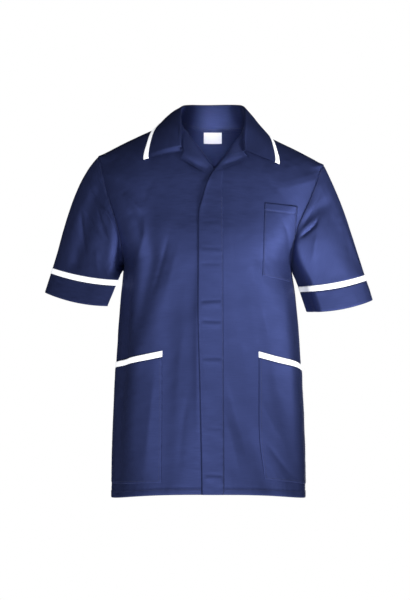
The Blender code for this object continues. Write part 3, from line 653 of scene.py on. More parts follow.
def addStitches(points, outs):
    along = lengthsAlong(points, 0)
    count = max(int(along[-1] / stitches["pitch"]), 2)
    steps = count * stitches["pointsEach"] + 1
    wanted = np.linspace(0, along[-1], steps)
    line, out = (
        np.stack([np.interp(wanted, along, values[:, k]) for k in range(3)], axis=-1)
        for values in (points, outs)
    )
    out = unit(out)
    way = unit(np.gradient(line, axis=0))
    sideways = unit(np.cross(out, way))
    phase = np.linspace(0, count * 2 * pi, steps)
    height = stitches["rise"] - stitches["sink"] * (1 - np.cos(phase)) ** 3 / 8
    centre = line + out * height[:, None]
    turn = np.arange(stitches["sides"]) * 2 * pi / stitches["sides"]
    ring = np.cos(turn)[None, :, None] * sideways[:, None] + np.sin(turn)[None, :, None] * out[:, None]
    threadRows.append(centre[:, None] + ring * stitches["radius"])


# The body's panels

panels = {
    "lowRows": 170,
    "armRows": 112,
    "frontColumns": 96,
    "backColumns": 174,
    "neckShare": 6 / 16,  # of a front's upper edge
    "backNeckShare": 12 / 32,
}
armLevels = [0.72, 0.728, 0.742, 0.760, 0.780, 0.802, 0.824, 0.846, 0.868, 0.888, 0.905, 0.918, 0.926, 0.930]
edgeLevels = [0.72, 0.750, 0.780, 0.810, 0.838, 0.862, 0.884, 0.904, 0.922, 0.938, 0.954, 0.969, 0.984, 1.000]
armSeam = smoothCurve([
    (0.720, 0.1780, 0.1780),
    (0.742, 0.1785, 0.1787),
    (0.780, 0.1810, 0.1840),
    (0.824, 0.1890, 0.1930),
    (0.868, 0.2035, 0.2070),
    (0.888, 0.2130, 0.2160),
    (0.905, 0.2215, 0.2240),
    (0.918, 0.2290, 0.2305),
    (0.926, 0.2345, 0.2355),
    (0.930, 0.2400, 0.2400),
])
leftEdge = oneCurve([
    (0.000, -0.0130),
    (0.300, -0.0160),
    (0.600, -0.0208),
    (0.860, -0.0205),
    (0.880, -0.0194),
    (0.895, -0.0157),
    (0.910, -0.0114),
    (0.934, -0.0041),
    (0.959, 0.0115),
    (0.979, 0.0369),
    (1.000, 0.0678),
])
rightEdge = oneCurve([
    (0.000, 0.0240),
    (0.860, 0.0240),
    (0.940, 0.0205),
    (0.959, 0.0149),
    (0.979, -0.0030),
    (1.000, -0.0415),
])


# Levels of a panel's rows: even up to the underarm, and then as the table spaces them
def rowLevels(table):
    low = np.linspace(0, body["underarm"], panels["lowRows"] + 1)
    places = np.linspace(0, len(table) - 1, panels["armRows"] + 1)
    high = oneCurve(list(enumerate(table)))(places)
    return np.concatenate([low, high[1:]])


def armGuide(side, back):
    levels = rowLevels(armLevels)
    seam = armSeam(levels)[:, 1 if back else 0]
    c = sectionAt(levels)
    seamAngle = side * (pi / 2 + (body["seamTurn"] if back else -body["seamTurn"]))
    x = c["centreX"] + side * np.minimum(seam, c["halfWidth"])
    armAngle = angleAt(levels, x, back)
    if back and side < 0:
        armAngle = armAngle - 2 * pi
    angles = np.where(levels <= body["underarm"], seamAngle, armAngle)
    angles[-1] = seamAngle
    return np.stack([angles, levels], axis=-1)


def filledIn(left, right, top):
    f = np.linspace(0, 1, len(top))[None, :, None]
    places = left[:, None] * (1 - f) + right[:, None] * f
    low = panels["lowRows"]
    weight = np.clip((np.arange(len(left)) - low) / (len(left) - 1 - low), 0, 1) ** body["topPull"]
    return places + weight[:, None, None] * (top - places[-1])[None]


# Points evenly along a bent line of (angle, level), with its corners at the given places, 0 to 1
def bentLine(corners, places, columns):
    return np.stack([np.interp(shares(columns), places, [c[k] for c in corners]) for k in (0, 1)], axis=-1)


# The cloth rolls in at its seams
def seamDip(points, sides):
    dip = np.zeros(points.shape[:2])
    across, along = lengthsAlong(points, 1), lengthsAlong(points, 0)
    away = {"left": across, "right": across[:, -1:] - across, "top": along[-1:] - along}
    for side in sides:
        dip += bell(away[side], body["seamDipWidth"])
    return -body["seamDip"] * np.minimum(dip, 1)


# The turned-up hem is a little thicker, down to its folded edge
def hemRelief(points):
    along, across = lengthsAlong(points, 0), lengthsAlong(points, 1)
    fromRow = along - hem["depth"]
    band = 1 - eased(fromRow, -0.001, 0.001)
    sewn = bell(fromRow, hem["sewnWidth"])
    edge = bell(along, hem["edgeWidth"])
    waves = puckers(across, *hem["puckers"]) * np.exp(-np.abs(fromRow) / hem["puckerLength"])
    return hem["rise"] * (band - sewn - edge) + hem["pucker"] * waves


# A band's height over its grid: its rise, and the grooves at its first and its last row
def bandRelief(points, rise, first, last):
    along = lengthsAlong(points, 0)
    return rise - groove(along, *first) - groove(along[-1:] - along, *last)


def measuredOuts(points):
    return unit(np.cross(np.gradient(points, axis=1), np.gradient(points, axis=0)))


def frontPanel(side):
    edgeCurve = leftEdge if side > 0 else rightEdge
    levels = rowLevels(edgeLevels)
    edge = np.stack([angleAt(levels, edgeCurve(levels)), levels], axis=-1)
    arm = armGuide(side, False)
    corners = [edge[-1], (arm[-1][0], 1.0), arm[-1]]
    top = bentLine(corners, (0, panels["neckShare"], 1), panels["frontColumns"])
    places = filledIn(edge, arm, top) if side > 0 else filledIn(arm, edge, top[::-1])
    points = onFront(side, places[..., 0], places[..., 1], 0.0)
    outs = measuredOuts(points)
    height = seamDip(points, ["right", "top"] if side > 0 else ["left", "top"]) + hemRelief(points)
    return points + outs * height[..., None], outs


def backPanel():
    left, right = armGuide(1, True), armGuide(-1, True)
    right = right + np.array([2 * pi, 0])
    corners = [left[-1], (left[-1][0], 1.0), (right[-1][0], 1.0), right[-1]]
    share = (1 - panels["backNeckShare"]) / 2
    top = bentLine(corners, (0, share, 1 - share, 1), panels["backColumns"])
    places = filledIn(left, right, top)
    points = clothForm(places[..., 0], places[..., 1])[0]
    outs = measuredOuts(points)
    height = seamDip(points, ["left", "right", "top"]) + hemRelief(points)
    return points + outs * height[..., None], outs


fronts = {1: frontPanel(1), -1: frontPanel(-1)}
back = backPanel()
hemRow = int(round(hem["depth"] / body["height"] * panels["lowRows"] / body["underarm"]))
for name, (points, outs) in (("left_front", fronts[1]), ("right_front", fronts[-1]), ("back", back)):
    addCloth(name, points, cloth["bodyWall"], "navy_twill")
    addStitches(points[hemRow, 1:-1], outs[hemRow, 1:-1])
print("body panels ready")


# Sleeves

# End rings: outerX outerZ innerX innerZ halfDepth middleY dip, at the tape's top and at the hem
sleeveRings = {
    1: (
        (0.332, -0.319, 0.1906, -0.3436, 0.062, -0.004, 0.005),
        (0.349, -0.372, 0.2086, -0.3975, 0.060, -0.006, 0.007),
    ),
    -1: (
        (-0.331, -0.304, -0.187, -0.3307, 0.062, -0.004, 0.005),
        (-0.347, -0.356, -0.209, -0.3848, 0.060, -0.006, 0.007),
    ),
}
sleeves = {
    "rows": 84,
    "rowSpacing": 1.15,  # over 1, the rows lie closer near the seam
    "fullness": 0.90,
    "wayOut": {1: 0.38, -1: 0.68},
    "underarmOut": 0.02,
    "spread": 0.30,
    "tipDown": 0.70,
    "underarmDown": 1.00,
    "foldRadius": 0.068,
    "twist": {1: 0.004, -1: 0.022},
    "heldEnds": 0.12,  # the folds grow over this share of the sleeve from either end
    "bunch": 0.0014,
    "bunchTurn": 0.55,
    "bunchRise": (0.004, 0.012),  # below the seam
    "bunchFall": (0.018, 0.036),
    "pucker": 0.00035,
    "puckers": (0.0030, 2.5, 0.017),
    "puckerLength": 0.012,
    "tuck": {1: 0.0, -1: 0.019},
    "tuckTurns": ((2.20, 2.60), (pi, pi + 0.3)),  # where it begins and ends
    "tuckEnds": (0.030, 0.050),  # how far from the seam and from the tape it is whole
    "seamDip": {1: 0.0006, -1: 0.0001},
    "sewnRow": 3,
    "tapeRows": 8,
    "cuffRows": 20,
    "tapeRelief": (0.0010, (0.0006, 0.0008), (0.0006, 0.0008)),
    "cuffRelief": (0.0004, (0.0008, 0.0012), (0.0006, 0.0009)),
}
# How far the front of a sleeve's end stands out, from its outer edge (0) to its inner one (1)
sleeveFronts = {
    1: [(0, 0), (0.03, 0.35), (0.12, 0.62), (0.35, 0.90), (0.60, 1.0), (0.78, 0.95), (0.86, 0.78),
        (0.92, 0.34), (1, 0)],
    -1: [(0, 0), (0.03, 0.28), (0.12, 0.50), (0.35, 0.72), (0.60, 0.86), (0.85, 0.97), (1, 1.0)],
}
sleeveFolds = {
    1: [
        (72, -0.200, 128, -0.250, 0.010, -0.0045),
        (96, -0.215, 112, -0.255, 0.012, 0.0035),
        (40, -0.170, 30, -0.300, 0.018, -0.0030),
        (240, -0.190, 225, -0.320, 0.016, -0.0050),
        (290, -0.160, 300, -0.300, 0.018, -0.0035),
    ],
    -1: [
        (48, -0.175, 66, -0.290, 0.012, -0.0045),
        (76, -0.170, 104, -0.240, 0.012, 0.0040),
        (92, -0.165, 128, -0.250, 0.011, -0.0040),
        (236, -0.180, 220, -0.310, 0.016, -0.0050),
        (285, -0.150, 296, -0.290, 0.018, -0.0035),
    ],
}


def ringPoints(ring, count):
    outerX, outerZ, innerX, innerZ, halfDepth, middleY, dip = ring
    turn = np.arange(count) * 2 * pi / count
    outer, inner = np.array([outerX, outerZ]), np.array([innerX, innerZ])
    middle, half = (outer + inner) / 2, (outer - inner) / 2
    flat = middle + half * np.cos(turn)[:, None]
    side = 1 if outerX > 0 else -1
    inwards = (1 - np.cos(turn)) / 2
    front = oneCurve(sleeveFronts[side])(inwards)
    behind = np.sin(turn) + sleeveFronts[side][-1][1] * eased(inwards, 0.955, 1.0)
    depth = np.where(turn <= pi, front, behind)
    y = middleY - halfDepth * depth + sleeves["twist"][side] * np.cos(turn)
    z = flat[:, 1] - dip * np.maximum(np.sin(turn), 0) ** 2
    return np.stack([flat[:, 0], y, z], axis=-1)


# Outs of a closed ring of columns that run anticlockwise seen from above
def ringOuts(points):
    around = np.roll(points, -1, axis=1) - np.roll(points, 1, axis=1)
    return unit(np.cross(around, np.gradient(points, axis=0)))


def sleevePoints(side, seam, top):
    count = len(seam)
    turn = np.arange(count) * 2 * pi / count
    under = (1 - np.cos(turn)) / 2
    wayOut = sleeves["wayOut"][side] * (1 - under) + sleeves["underarmOut"] * under
    wayDown = sleeves["tipDown"] * (1 - under) + sleeves["underarmDown"] * under
    leave = np.stack([side * wayOut, -sleeves["spread"] * np.sin(turn), -wayDown], axis=-1)
    hemRing = ringPoints(sleeveRings[side][1], count)
    reach = np.linalg.norm(top - seam, axis=-1)[:, None]
    startWay = unit(leave) * reach * sleeves["fullness"]
    endWay = unit(hemRing - top) * reach
    t = (np.linspace(0, 1, sleeves["rows"]) ** sleeves["rowSpacing"])[:, None, None]
    points = cubic(t, seam, startWay, top, endWay)
    # beside the body the sleeve tucks back behind the front
    begins, ends = sleeves["tuckTurns"]
    tuck = eased(turn, *begins) * (1 - eased(turn, *ends)) * sleeves["tuck"][side]
    away = lengthsAlong(points, 0)
    high, low = sleeves["tuckEnds"]
    points[..., 1] += tuck * eased(away, 0.0, high) * eased(away[-1:] - away, 0.0, low)
    points = points[:, ::side]
    turns = turn if side > 0 else turn[::-1]
    outs = ringOuts(points)
    height = foldHeight(sleeveFolds[side], sleeves["foldRadius"], turns, points[..., 2])
    creases = sleeveCreases[side]
    height = height + creasesOn(points, creases["front"], creases["back"], -outs[..., 1], 0.35)
    t = t[..., 0]
    held = np.minimum(t / sleeves["heldEnds"], 1) * np.minimum((1 - t) / sleeves["heldEnds"], 1)
    height = (height + unevenness(points)) * held
    # the cloth bunches towards the body at the underarm
    away = lengthsAlong(points, 0)
    inner = bell(turns - pi, sleeves["bunchTurn"])[None, :]
    bunched = inner * eased(away, *sleeves["bunchRise"]) * (1 - eased(away, *sleeves["bunchFall"]))
    height = height + sleeves["bunch"] * bunched
    # fullness eased into the sleeve head shows as small soft puckers along the seam
    head = eased(np.cos(turns), -0.2, 0.6)[None, :]
    waves = puckers(lengthsAlong(points, 1)[:1], *sleeves["puckers"])
    waves = waves * np.exp(-away / sleeves["puckerLength"])
    height = height + sleeves["pucker"] * head * waves * eased(away, 0, 0.004)
    height = height - sleeves["seamDip"][side] * bell(away, body["seamDipWidth"])
    return points + outs * height[..., None]


def addSleeve(side, name):
    frontColumn, backColumn = (-1, 0) if side > 0 else (0, -1)
    rows = panels["armRows"]
    seam = np.concatenate([fronts[side][0][-1 : -rows - 2 : -1, frontColumn], back[0][-rows:-1, backColumn]])
    count = len(seam)
    top, end = (ringPoints(ring, count) for ring in sleeveRings[side])
    points = sleevePoints(side, seam, top)
    addCloth(f"sleeve_{name}", points, cloth["bodyWall"], "navy_twill", ring=True)
    addStitches(points[sleeves["sewnRow"]], ringOuts(points)[sleeves["sewnRow"]])
    length = np.linalg.norm(end - top, axis=-1).mean()
    tapeEnd = cloth["tapeWidth"] / length
    # the tape and the cuff carry on from the sleeve's last row, and swing a little with its folds
    start = points[-1][::side]
    for part, low, high, count, wall, slot in (
        ("sleeve_tape", 0.0, tapeEnd, sleeves["tapeRows"], cloth["tapeWall"], "white_tape"),
        ("cuff", tapeEnd, 1.0, sleeves["cuffRows"], cloth["firmWall"], "navy_twill"),
    ):
        f = np.linspace(low, high, count + 1)[:, None, None]
        band = (start * (1 - f) + end * f)[:, ::side]
        bandOuts = ringOuts(band)
        if part == "cuff":
            relief = bandRelief(band, *sleeves["cuffRelief"]) + unevenness(band, 1.2)
        else:
            relief = bandRelief(band, *sleeves["tapeRelief"])
        band = band + bandOuts * relief[..., None]
        addCloth(f"{part}_{name}", band, wall, slot, ring=True)
        if part == "cuff":
            addStitches(band[1], bandOuts[1])


addSleeve(1, "left")
addSleeve(-1, "right")
print("sleeves ready")


# Collar

# From its middle behind to its front end: seamTurn seamLevel seamHeight foldX foldY foldZ edgeTurn
# edgeLevel bulge
collarRows = np.array([
    (180, 1.000, 0.0000, 0.0000, 0.0740, 0.0490, 180, 0.9880, 0.006),
    (150, 1.000, 0.0000, 0.0350, 0.0670, 0.0485, 152, 0.9880, 0.007),
    (120, 1.000, 0.0000, 0.0590, 0.0400, 0.0450, 122, 0.9850, 0.010),
    (90, 1.000, 0.0000, 0.0665, 0.0040, 0.0340, 89, 0.9830, 0.012),
    (68, 1.000, 0.0000, 0.0675, -0.0330, 0.0120, 72, 0.9755, 0.012),
    (50, 1.000, 0.0008, 0.0668, -0.0620, -0.0120, 57, 0.9650, 0.012),
    (34, 0.982, 0.0068, 0.0641, -0.0865, -0.0625, 43, 0.9475, 0.013),
])
collar = {
    "steps": 76,
    "standRows": 14,
    "rollRows": 9,
    "leafRows": 20,
    "tapeRows": 7,
    "gap": 0.0007,
    "foldRoll": 0.0032,
    "leftLeafFlatter": 0.4,
    "tapeWidth": 0.0095,
    "edgeHeight": 0.0024,
    "bow": 0.0012,
    "relief": (0.0, (0.0007, 0.0016), (0.0004, 0.0010)),
    "neckBand": 0.0007,  # the sewn band inside the neck stands this high
    "stitchRows": (0.50, 1.35),  # of the double row round the inside of the neck
    "cut": {"flat": (0.47, 0.115), "area": 0.046},
    "tapeCut": {"flat": (0.56, 0.012)},
}


def overForm(turn, level, height):
    angle = np.radians(turn)
    return plainForm(angle, level) + outward(angle, level) * height[..., None]


def collarPieces():
    halves = []
    for side in (-1, 1):
        rows = (collarRows[::-1] if side < 0 else collarRows).copy()
        place = np.arange(len(rows)) - (len(rows) - 1 if side < 0 else 0)
        if side < 0:
            rows[:, (0, 6)] = 360 - rows[:, (0, 6)]
        rows[:, 3] *= side
        halves.append(np.column_stack([place, rows]))
    both = np.concatenate([halves[0][:-1], halves[1]])
    steps = np.linspace(both[0, 0], both[-1, 0], 2 * collar["steps"] + 1)
    lines = smoothCurve(both)(steps).T
    seamTurn, seamLevel, seamHeight, foldX, foldY, foldZ, edgeTurn, edgeLevel, bulge = lines
    fold = np.stack([body["neckX"] + foldX, foldY, foldZ], axis=-1)
    seam = overForm(seamTurn, seamLevel, seamHeight) + np.array([0, 0, collar["gap"]])
    edgeOut = outward(np.radians(edgeTurn), edgeLevel)
    edge = plainForm(np.radians(edgeTurn), edgeLevel) + edgeOut * collar["edgeHeight"]
    way = unit(np.gradient(fold, axis=0))
    crest = -(unit(seam - fold) + unit(edge - fold))
    crest = unit(crest - way * (crest * way).sum(axis=-1, keepdims=True))
    outerWay = turnedTo(np.cross(way, crest), edge - seam)
    centre = fold - crest * collar["foldRoll"]
    rolled = [
        centre + (crest * np.cos(a) + outerWay * np.sin(a)) * collar["foldRoll"]
        for a in np.linspace(-pi / 2, pi / 2, collar["rollRows"])
    ]
    bulge = (bulge * np.where(seamTurn < 180, collar["leftLeafFlatter"], 1.0))[:, None]
    control = (rolled[-1] + edge) / 2 + unit(edgeOut + crest) * bulge
    length = np.linalg.norm(edge - rolled[-1], axis=-1)[:, None]

    def leaf(f):
        return rolled[-1] * (1 - f) ** 2 + control * 2 * f * (1 - f) + edge * f * f

    tapeStart = 1 - collar["tapeWidth"] / length
    # the stand bows a little towards the neck
    inwards = turnedTo(unit(np.cross(way, unit(rolled[0] - seam))), np.array([body["neckX"], 0, 0]) - seam)
    rows = [
        seam * (1 - f) + rolled[0] * f + inwards * collar["bow"] * np.sin(pi * f)
        for f in shares(collar["standRows"])[:-1]
    ]
    rows += rolled
    rows += [leaf(tapeStart * f) for f in shares(collar["leafRows"])[1:]]
    tapeRows = [leaf(tapeStart + (1 - tapeStart) * f) for f in shares(collar["tapeRows"])]
    return np.stack(rows), np.stack(tapeRows)


collarPoints, tapePoints = collarPieces()
collarOuts, tapeOuts = measuredOuts(collarPoints), measuredOuts(tapePoints)
fromSeam = lengthsAlong(collarPoints, 0)
relief = bandRelief(collarPoints, *collar["relief"]) + unevenness(collarPoints, 1.1)
relief = relief + collar["neckBand"] * eased(fromSeam, 0.0015, 0.0030) * (1 - eased(fromSeam, 0.0085, 0.0100))
collarPoints = collarPoints + collarOuts * relief[..., None]
tapePoints = tapePoints + tapeOuts * bandRelief(tapePoints, *cloth["tapeRelief"])[..., None]
addCloth("collar", collarPoints, cloth["firmWall"], "navy_twill", thinEdge=0.2)
for share in collar["stitchRows"]:
    low, f = int(share), share % 1
    addStitches(collarPoints[low] * (1 - f) + collarPoints[low + 1] * f, collarOuts[low])
addCloth("collar_tape", tapePoints, cloth["tapeWall"], "white_tape", "collarTapeCloth")
print("collar ready")


# Lapels: the roll line from the neck seam to the break, and the outer edge by notch and corner, as
# (along, x, z) seen from the front
lapels = {
    1: {
        "roll": [(0, 0.0670, -0.0285), (0.6, 0.0369, -0.0713), (1, 0.0130, -0.1015)],
        "outer": [(0, 0.0690, -0.0500), (0.12, 0.0680, -0.0680), (0.25, 0.0851, -0.0784),
                  (0.75, 0.0367, -0.0999), (1, 0.0160, -0.1070)],
    },
    -1: {
        "roll": [(0, -0.0425, -0.0256), (0.6, -0.0050, -0.0760), (1, 0.0070, -0.0930)],
        "outer": [(0, -0.0505, -0.0470), (0.12, -0.0505, -0.0650), (0.25, -0.0578, -0.0792),
                  (0.75, -0.0170, -0.1030), (1, -0.0020, -0.1095)],
    },
    "heights": [(0.00, 0.0034), (0.12, 0.0052), (0.45, 0.0066), (1.00, 0.0068)],
    "rollRows": 9,
    "rows": 26,
    "columns": 40,
    "rollRadius": 0.0022,
    "cut": {"flat": (0.050, 0.100), "area": 0.0036},
}


def lapelPoints(side):
    along = shares(lapels["columns"])
    lines = {}
    for key in ("roll", "outer"):
        line = np.array(lapels[side][key], float)
        lines[key] = np.stack([np.interp(along, line[:, 0], line[:, k]) for k in (1, 2)], axis=-1)
    v = shares(lapels["rows"])
    flat = lines["roll"][None] * (1 - v)[:, None, None] + lines["outer"][None] * v[:, None, None]
    angle, level = placeAt(flat[..., 0], flat[..., 1])
    swell = 0.55 + 0.45 * np.sin(pi * np.clip(along * 1.1, 0, 1))
    heights = oneCurve(lapels["heights"])(v)[:, None] * swell[None]
    points = onFront(side, angle, level, heights)
    # the cloth turns over from inside the front's edge to the lapel
    first = points[0]
    outs = outward(angle[0], level[0])
    away = unit(first - points[3])
    radius = lapels["rollRadius"] * (0.35 + 0.65 * np.sin(pi * np.clip(along, 0.05, 1)) ** 0.5)[:, None]
    turns = np.linspace(-pi / 2, pi / 2, lapels["rollRows"], endpoint=False)
    turned = [first - outs * radius + (away * np.cos(a) + outs * np.sin(a)) * radius for a in turns]
    points = np.concatenate([np.stack(turned), points])
    return points[:, ::-1] if side < 0 else points[::-1, ::-1]


for side, name in ((1, "left"), (-1, "right")):
    points = lapelPoints(side)
    addCloth(f"lapel_{name}", points, cloth["firmWall"], "navy_twill", thinEdge=0.25)
print("lapels ready")


# What lies on the fronts

placket = {
    "stitchX": (0.0331, 0.0301),  # its stitched edge at the hem and at the top
    "topLevel": 0.9700,
    "rows": 250,
    "columns": 26,
    "puff": 0.0006,
    "edge": (0.0020, 0.0016),
    "sewn": (0.0006, 0.0014),
    "studHeight": 0.0006,
    "studWidth": 0.0030,
    "studRound": 0.007,  # the swelling below each one
    "pucker": 0.00022,
    "puckers": (0.0034, 2, 0.011),
    "puckerLength": 0.006,
    # marks of the hidden studs: z, and how deep each one is
    "studs": [(-0.146, 0.4), (-0.2116, 0.5), (-0.2651, 0.7), (-0.2972, 0.5), (-0.3734, 1.2), (-0.4145, 1.1),
              (-0.491, 0.8), (-0.6352, 0.4), (-0.7297, 1.0)],
    "cut": {"flat": (0.055, 0.68)},
}


def placketPoints():
    level = np.linspace(0.0, placket["topLevel"], placket["rows"] + 1)
    startX = leftEdge(level) - 0.0008
    lowX, highX = placket["stitchX"]
    endX = np.maximum(lowX + (highX - lowX) * level / placket["topLevel"], startX + 0.004)
    f = shares(placket["columns"]) ** 1.3
    x = startX[:, None] * (1 - f) + endX[:, None] * f
    level = np.broadcast_to(level[:, None], x.shape)
    angle = angleAt(level, x)
    z = plainForm(angle, level)[..., 2]
    fromEdge, toStitch = x - startX[:, None], endX[:, None] - x
    height = cloth["laid"] + placket["puff"] * np.sin(pi * f)[None]
    height = height - groove(fromEdge, *placket["edge"]) - groove(toStitch, *placket["sewn"])
    over = eased(fromEdge, 0.004, 0.014) * eased(toStitch, 0.001, 0.008)
    for k, (studZ, strength) in enumerate(placket["studs"]):
        slant = 0.0012 * np.sin(2.1 * k)
        off = z - studZ - slant * (x / 0.02)
        mark = bell(off + placket["studRound"], placket["studRound"]) - 0.9 * bell(off, placket["studWidth"])
        height = height + placket["studHeight"] * strength * over * mark
    nearHem = 1 - eased(z, -0.66, -0.60)
    waves = puckers(z, *placket["puckers"]) * np.exp(-toStitch / placket["puckerLength"])
    height = height + placket["pucker"] * (0.5 + nearHem) * waves
    # its top dies away into the front under the lapel
    height = height * (1 - 0.9 * eased(level, placket["topLevel"] - 0.020, placket["topLevel"]))
    points = onFront(1, angle, level, height)
    return points, measuredOuts(points)


placketGrid, placketOuts = placketPoints()
addCloth("placket", placketGrid, cloth["bodyWall"], "navy_twill")
addStitches(placketGrid[:-16, -2], placketOuts[:-16, -2])


# A patch's grid of (x, z) between its corners: bottom left, bottom right, top right, top left
def patchGrid(corners, rows, columns):
    s, t = shares(columns)[None, :, None], shares(rows)[:, None, None]
    lowLeft, lowRight, highRight, highLeft = (np.array(c, float) for c in corners)
    return (lowLeft * (1 - s) + lowRight * s) * (1 - t) + (highLeft * (1 - s) + highRight * s) * t


patch = {
    "edge": (0.0004, 0.0008),  # the grooves along its edges,
    "row": (0.00012, 0.0015),  # along its stitches
    "rowIn": 0.0035,
    "mouth": (0.0004, 0.0009),  # and along its mouth
    "pucker": 0.00016,
    "puckerPitch": 0.0029,
    "puckerWander": 0.019,
    "puckerLength": 0.008,
    "fullIn": 0.05,  # it stands fully proud this far from its edges
    "slackDown": 0.035,  # its mouth stands open down to here
}


# The height of a patch over the front: sewn down at three edges and a little proud between them
def patchHeight(points, puff, slack, gape=None):
    across, along = lengthsAlong(points, 1), lengthsAlong(points, 0)
    left, right = across, across[:, -1:] - across
    low, high = along, along[-1:] - along
    height = cloth["laid"] * np.ones(left.shape)
    wander = 2 * np.sin((across - along) / patch["puckerWander"])
    waves = np.sin((across + along) / patch["puckerPitch"] + wander)
    for away in (left, right, low):
        height -= groove(away, *patch["edge"]) + groove(away - patch["rowIn"], *patch["row"])
        height += patch["pucker"] * waves * np.exp(-away / patch["puckerLength"])
    height -= groove(high, *patch["mouth"])
    middle = np.sin(pi * np.clip(left / across[:, -1:], 0, 1)).clip(0, 1) ** 0.7
    height += puff * middle * eased(low, 0, patch["fullIn"]) * eased(high, -0.02, patch["fullIn"])
    height += slack * middle * (1 - eased(high, 0, patch["slackDown"]))
    if gape is not None:
        height += gape(right, high)
    return height


# A row of stitches down one side of a patch, along its bottom and up the other side
def sewRound(points, inset):
    def walked(grid):
        return np.concatenate([grid[:inset:-1, inset], grid[inset, inset:-inset], grid[inset:, -inset - 1]])

    addStitches(walked(points), walked(measuredOuts(points)))


pockets = {
    "chest": {
        "corners": [(0.1119, -0.3216), (0.1729, -0.3346), (0.1864, -0.1777), (0.1168, -0.1705)],
        "cut": {"flat": (0.085, 0.165)},
        "rows": 96,
        "columns": 48,
        "hem": 0.0165,
        "hemRow": -11,
        "hemHeight": 0.0004,
        "hemGroove": (0.0005, 0.0016),
        "puff": 0.0006,
        "slack": 0.0003,
        "gape": 0.0022,
    },
    "lower": {
        1: {"inner": [(0.1171, -0.7414), (0.1046, -0.6355), (0.1046, -0.4900)],
            "outerZ": (-0.7616, -0.5230)},
        -1: {"inner": [(-0.0960, -0.7480), (-0.0952, -0.6200), (-0.0950, -0.4890)],
             "outerZ": (-0.7570, -0.5160)},
        "cut": {"flat": (0.165, 0.255), "area": 0.038},
        "tapeCut": {"flat": (0.155, 0.012)},
        "rows": 118,
        "tapeRows": 9,
        "columns": 72,
        "sag": 0.006,
        "puff": 0.0012,
        "slack": 0.0022,
    },
    "sewnInset": 2,
}


def addChestPocket():
    settings = pockets["chest"]
    flat = patchGrid(settings["corners"], settings["rows"], settings["columns"])
    angle, level = placeAt(flat[..., 0], flat[..., 1])

    def gape(right, high):
        fromHem = high - settings["hem"]
        topHem = settings["hemHeight"] * (1 - eased(fromHem, -0.001, 0.001))
        topHem = topHem - groove(fromHem, *settings["hemGroove"])
        corner = settings["gape"] * bell(right - 0.012, 0.014) * (1 - eased(high, 0.0, 0.045))
        return topHem + corner * eased(right, 0, 0.006)

    height = patchHeight(onFront(1, angle, level, 0.0), settings["puff"], settings["slack"], gape)
    points = onFront(1, angle, level, height)
    addCloth("chest_pocket", points, cloth["bodyWall"], "navy_twill")
    sewRound(points, pockets["sewnInset"])
    addStitches(points[settings["hemRow"], 3:-3], measuredOuts(points)[settings["hemRow"], 3:-3])


def addLowerPocket(side, name):
    settings, rows = pockets["lower"], pockets["lower"]["rows"]
    lowZ, highZ = settings[side]["outerZ"]
    # up its inner side and up the side seam, as (angle, level) over the rows of pocket and tape
    tapeShare = cloth["tapeWidth"] / (highZ - lowZ)
    t = np.concatenate([shares(rows), 1 + tapeShare * shares(settings["tapeRows"])[1:]])
    inner = list(zip(*placeAt(*zip(*settings[side]["inner"]))))
    edgeIn = smoothCurve([(k / 2, *p) for k, p in enumerate(inner)])(np.clip(t, 0, 1))
    edgeIn[:, 1] += np.maximum(t - 1, 0) * (inner[2][1] - inner[0][1])
    seamAngle = side * (pi / 2 - 0.008)
    levels = np.linspace(0, body["underarm"], 400)
    outerLow, outerHigh = np.interp([lowZ, highZ], plainForm(seamAngle, levels)[:, 2], levels)
    edgeOut = np.stack([np.full(len(t), seamAngle), outerLow * (1 - t) + outerHigh * t], axis=-1)
    s = shares(settings["columns"])[None, :, None]
    places = edgeIn[:, None] * (1 - s) + edgeOut[:, None] * s
    places[..., 1] -= settings["sag"] * np.sin(pi * s[..., 0]) * np.minimum(t, 1)[:, None] ** 4
    angle, level = np.moveaxis(places[:, ::side], -1, 0)
    base = onFront(side, angle, level, 0.0)
    height = patchHeight(base[: rows + 1], settings["puff"], settings["slack"])
    points = onFront(side, angle[: rows + 1], level[: rows + 1], height)
    addCloth(f"lower_pocket_{name}", points, cloth["bodyWall"], "navy_twill")
    sewRound(points, pockets["sewnInset"])
    height = height[-1:] + bandRelief(base[rows:], *cloth["tapeRelief"])
    points = onFront(side, angle[rows:], level[rows:], height)
    addCloth(f"pocket_tape_{name}", points, cloth["tapeWall"], "white_tape")


addChestPocket()
addLowerPocket(1, "left")
addLowerPocket(-1, "right")
print("pockets ready")


# A blank label on the inside of the back, under the neck seam
label = {
    "corners": [(0.0298, -0.0335), (-0.0092, -0.0335), (-0.0092, -0.0105), (0.0298, -0.0105)],
    "rows": 14,
    "columns": 24,
    "height": 0.0022,
    "bow": 0.0012,  # of its free lower edge
    "wall": 0.0004,
    "cut": {"flat": (0.039, 0.024)},
}


def labelPoints():
    flat = patchGrid(label["corners"], label["rows"], label["columns"])
    point, out = clothForm(*placeAt(flat[..., 0], flat[..., 1], back=True))
    bow = np.sin(pi * shares(label["columns"])) * (1 - shares(label["rows"]))[:, None]
    lift = label["height"] + label["bow"] * bow
    return (point - out * lift[..., None])[:, ::-1]


addCloth("neck_label", labelPoints(), label["wall"], "label_satin", "neckLabelSatin")
print("label ready")


# All the rows of stitches, in one piece
thread = bmesh.new()
threadData = bpy.data.meshes.new("threadRow")
for row in threadRows:
    one = gridMesh(row, ring=True)
    one.to_mesh(threadData)
    one.free()
    thread.from_mesh(threadData)
bpy.data.meshes.remove(threadData)
addPiece("stitchRows", thread, "navy_twill", material=threadNavy)
print("stitches ready")


# Stage, camera and light

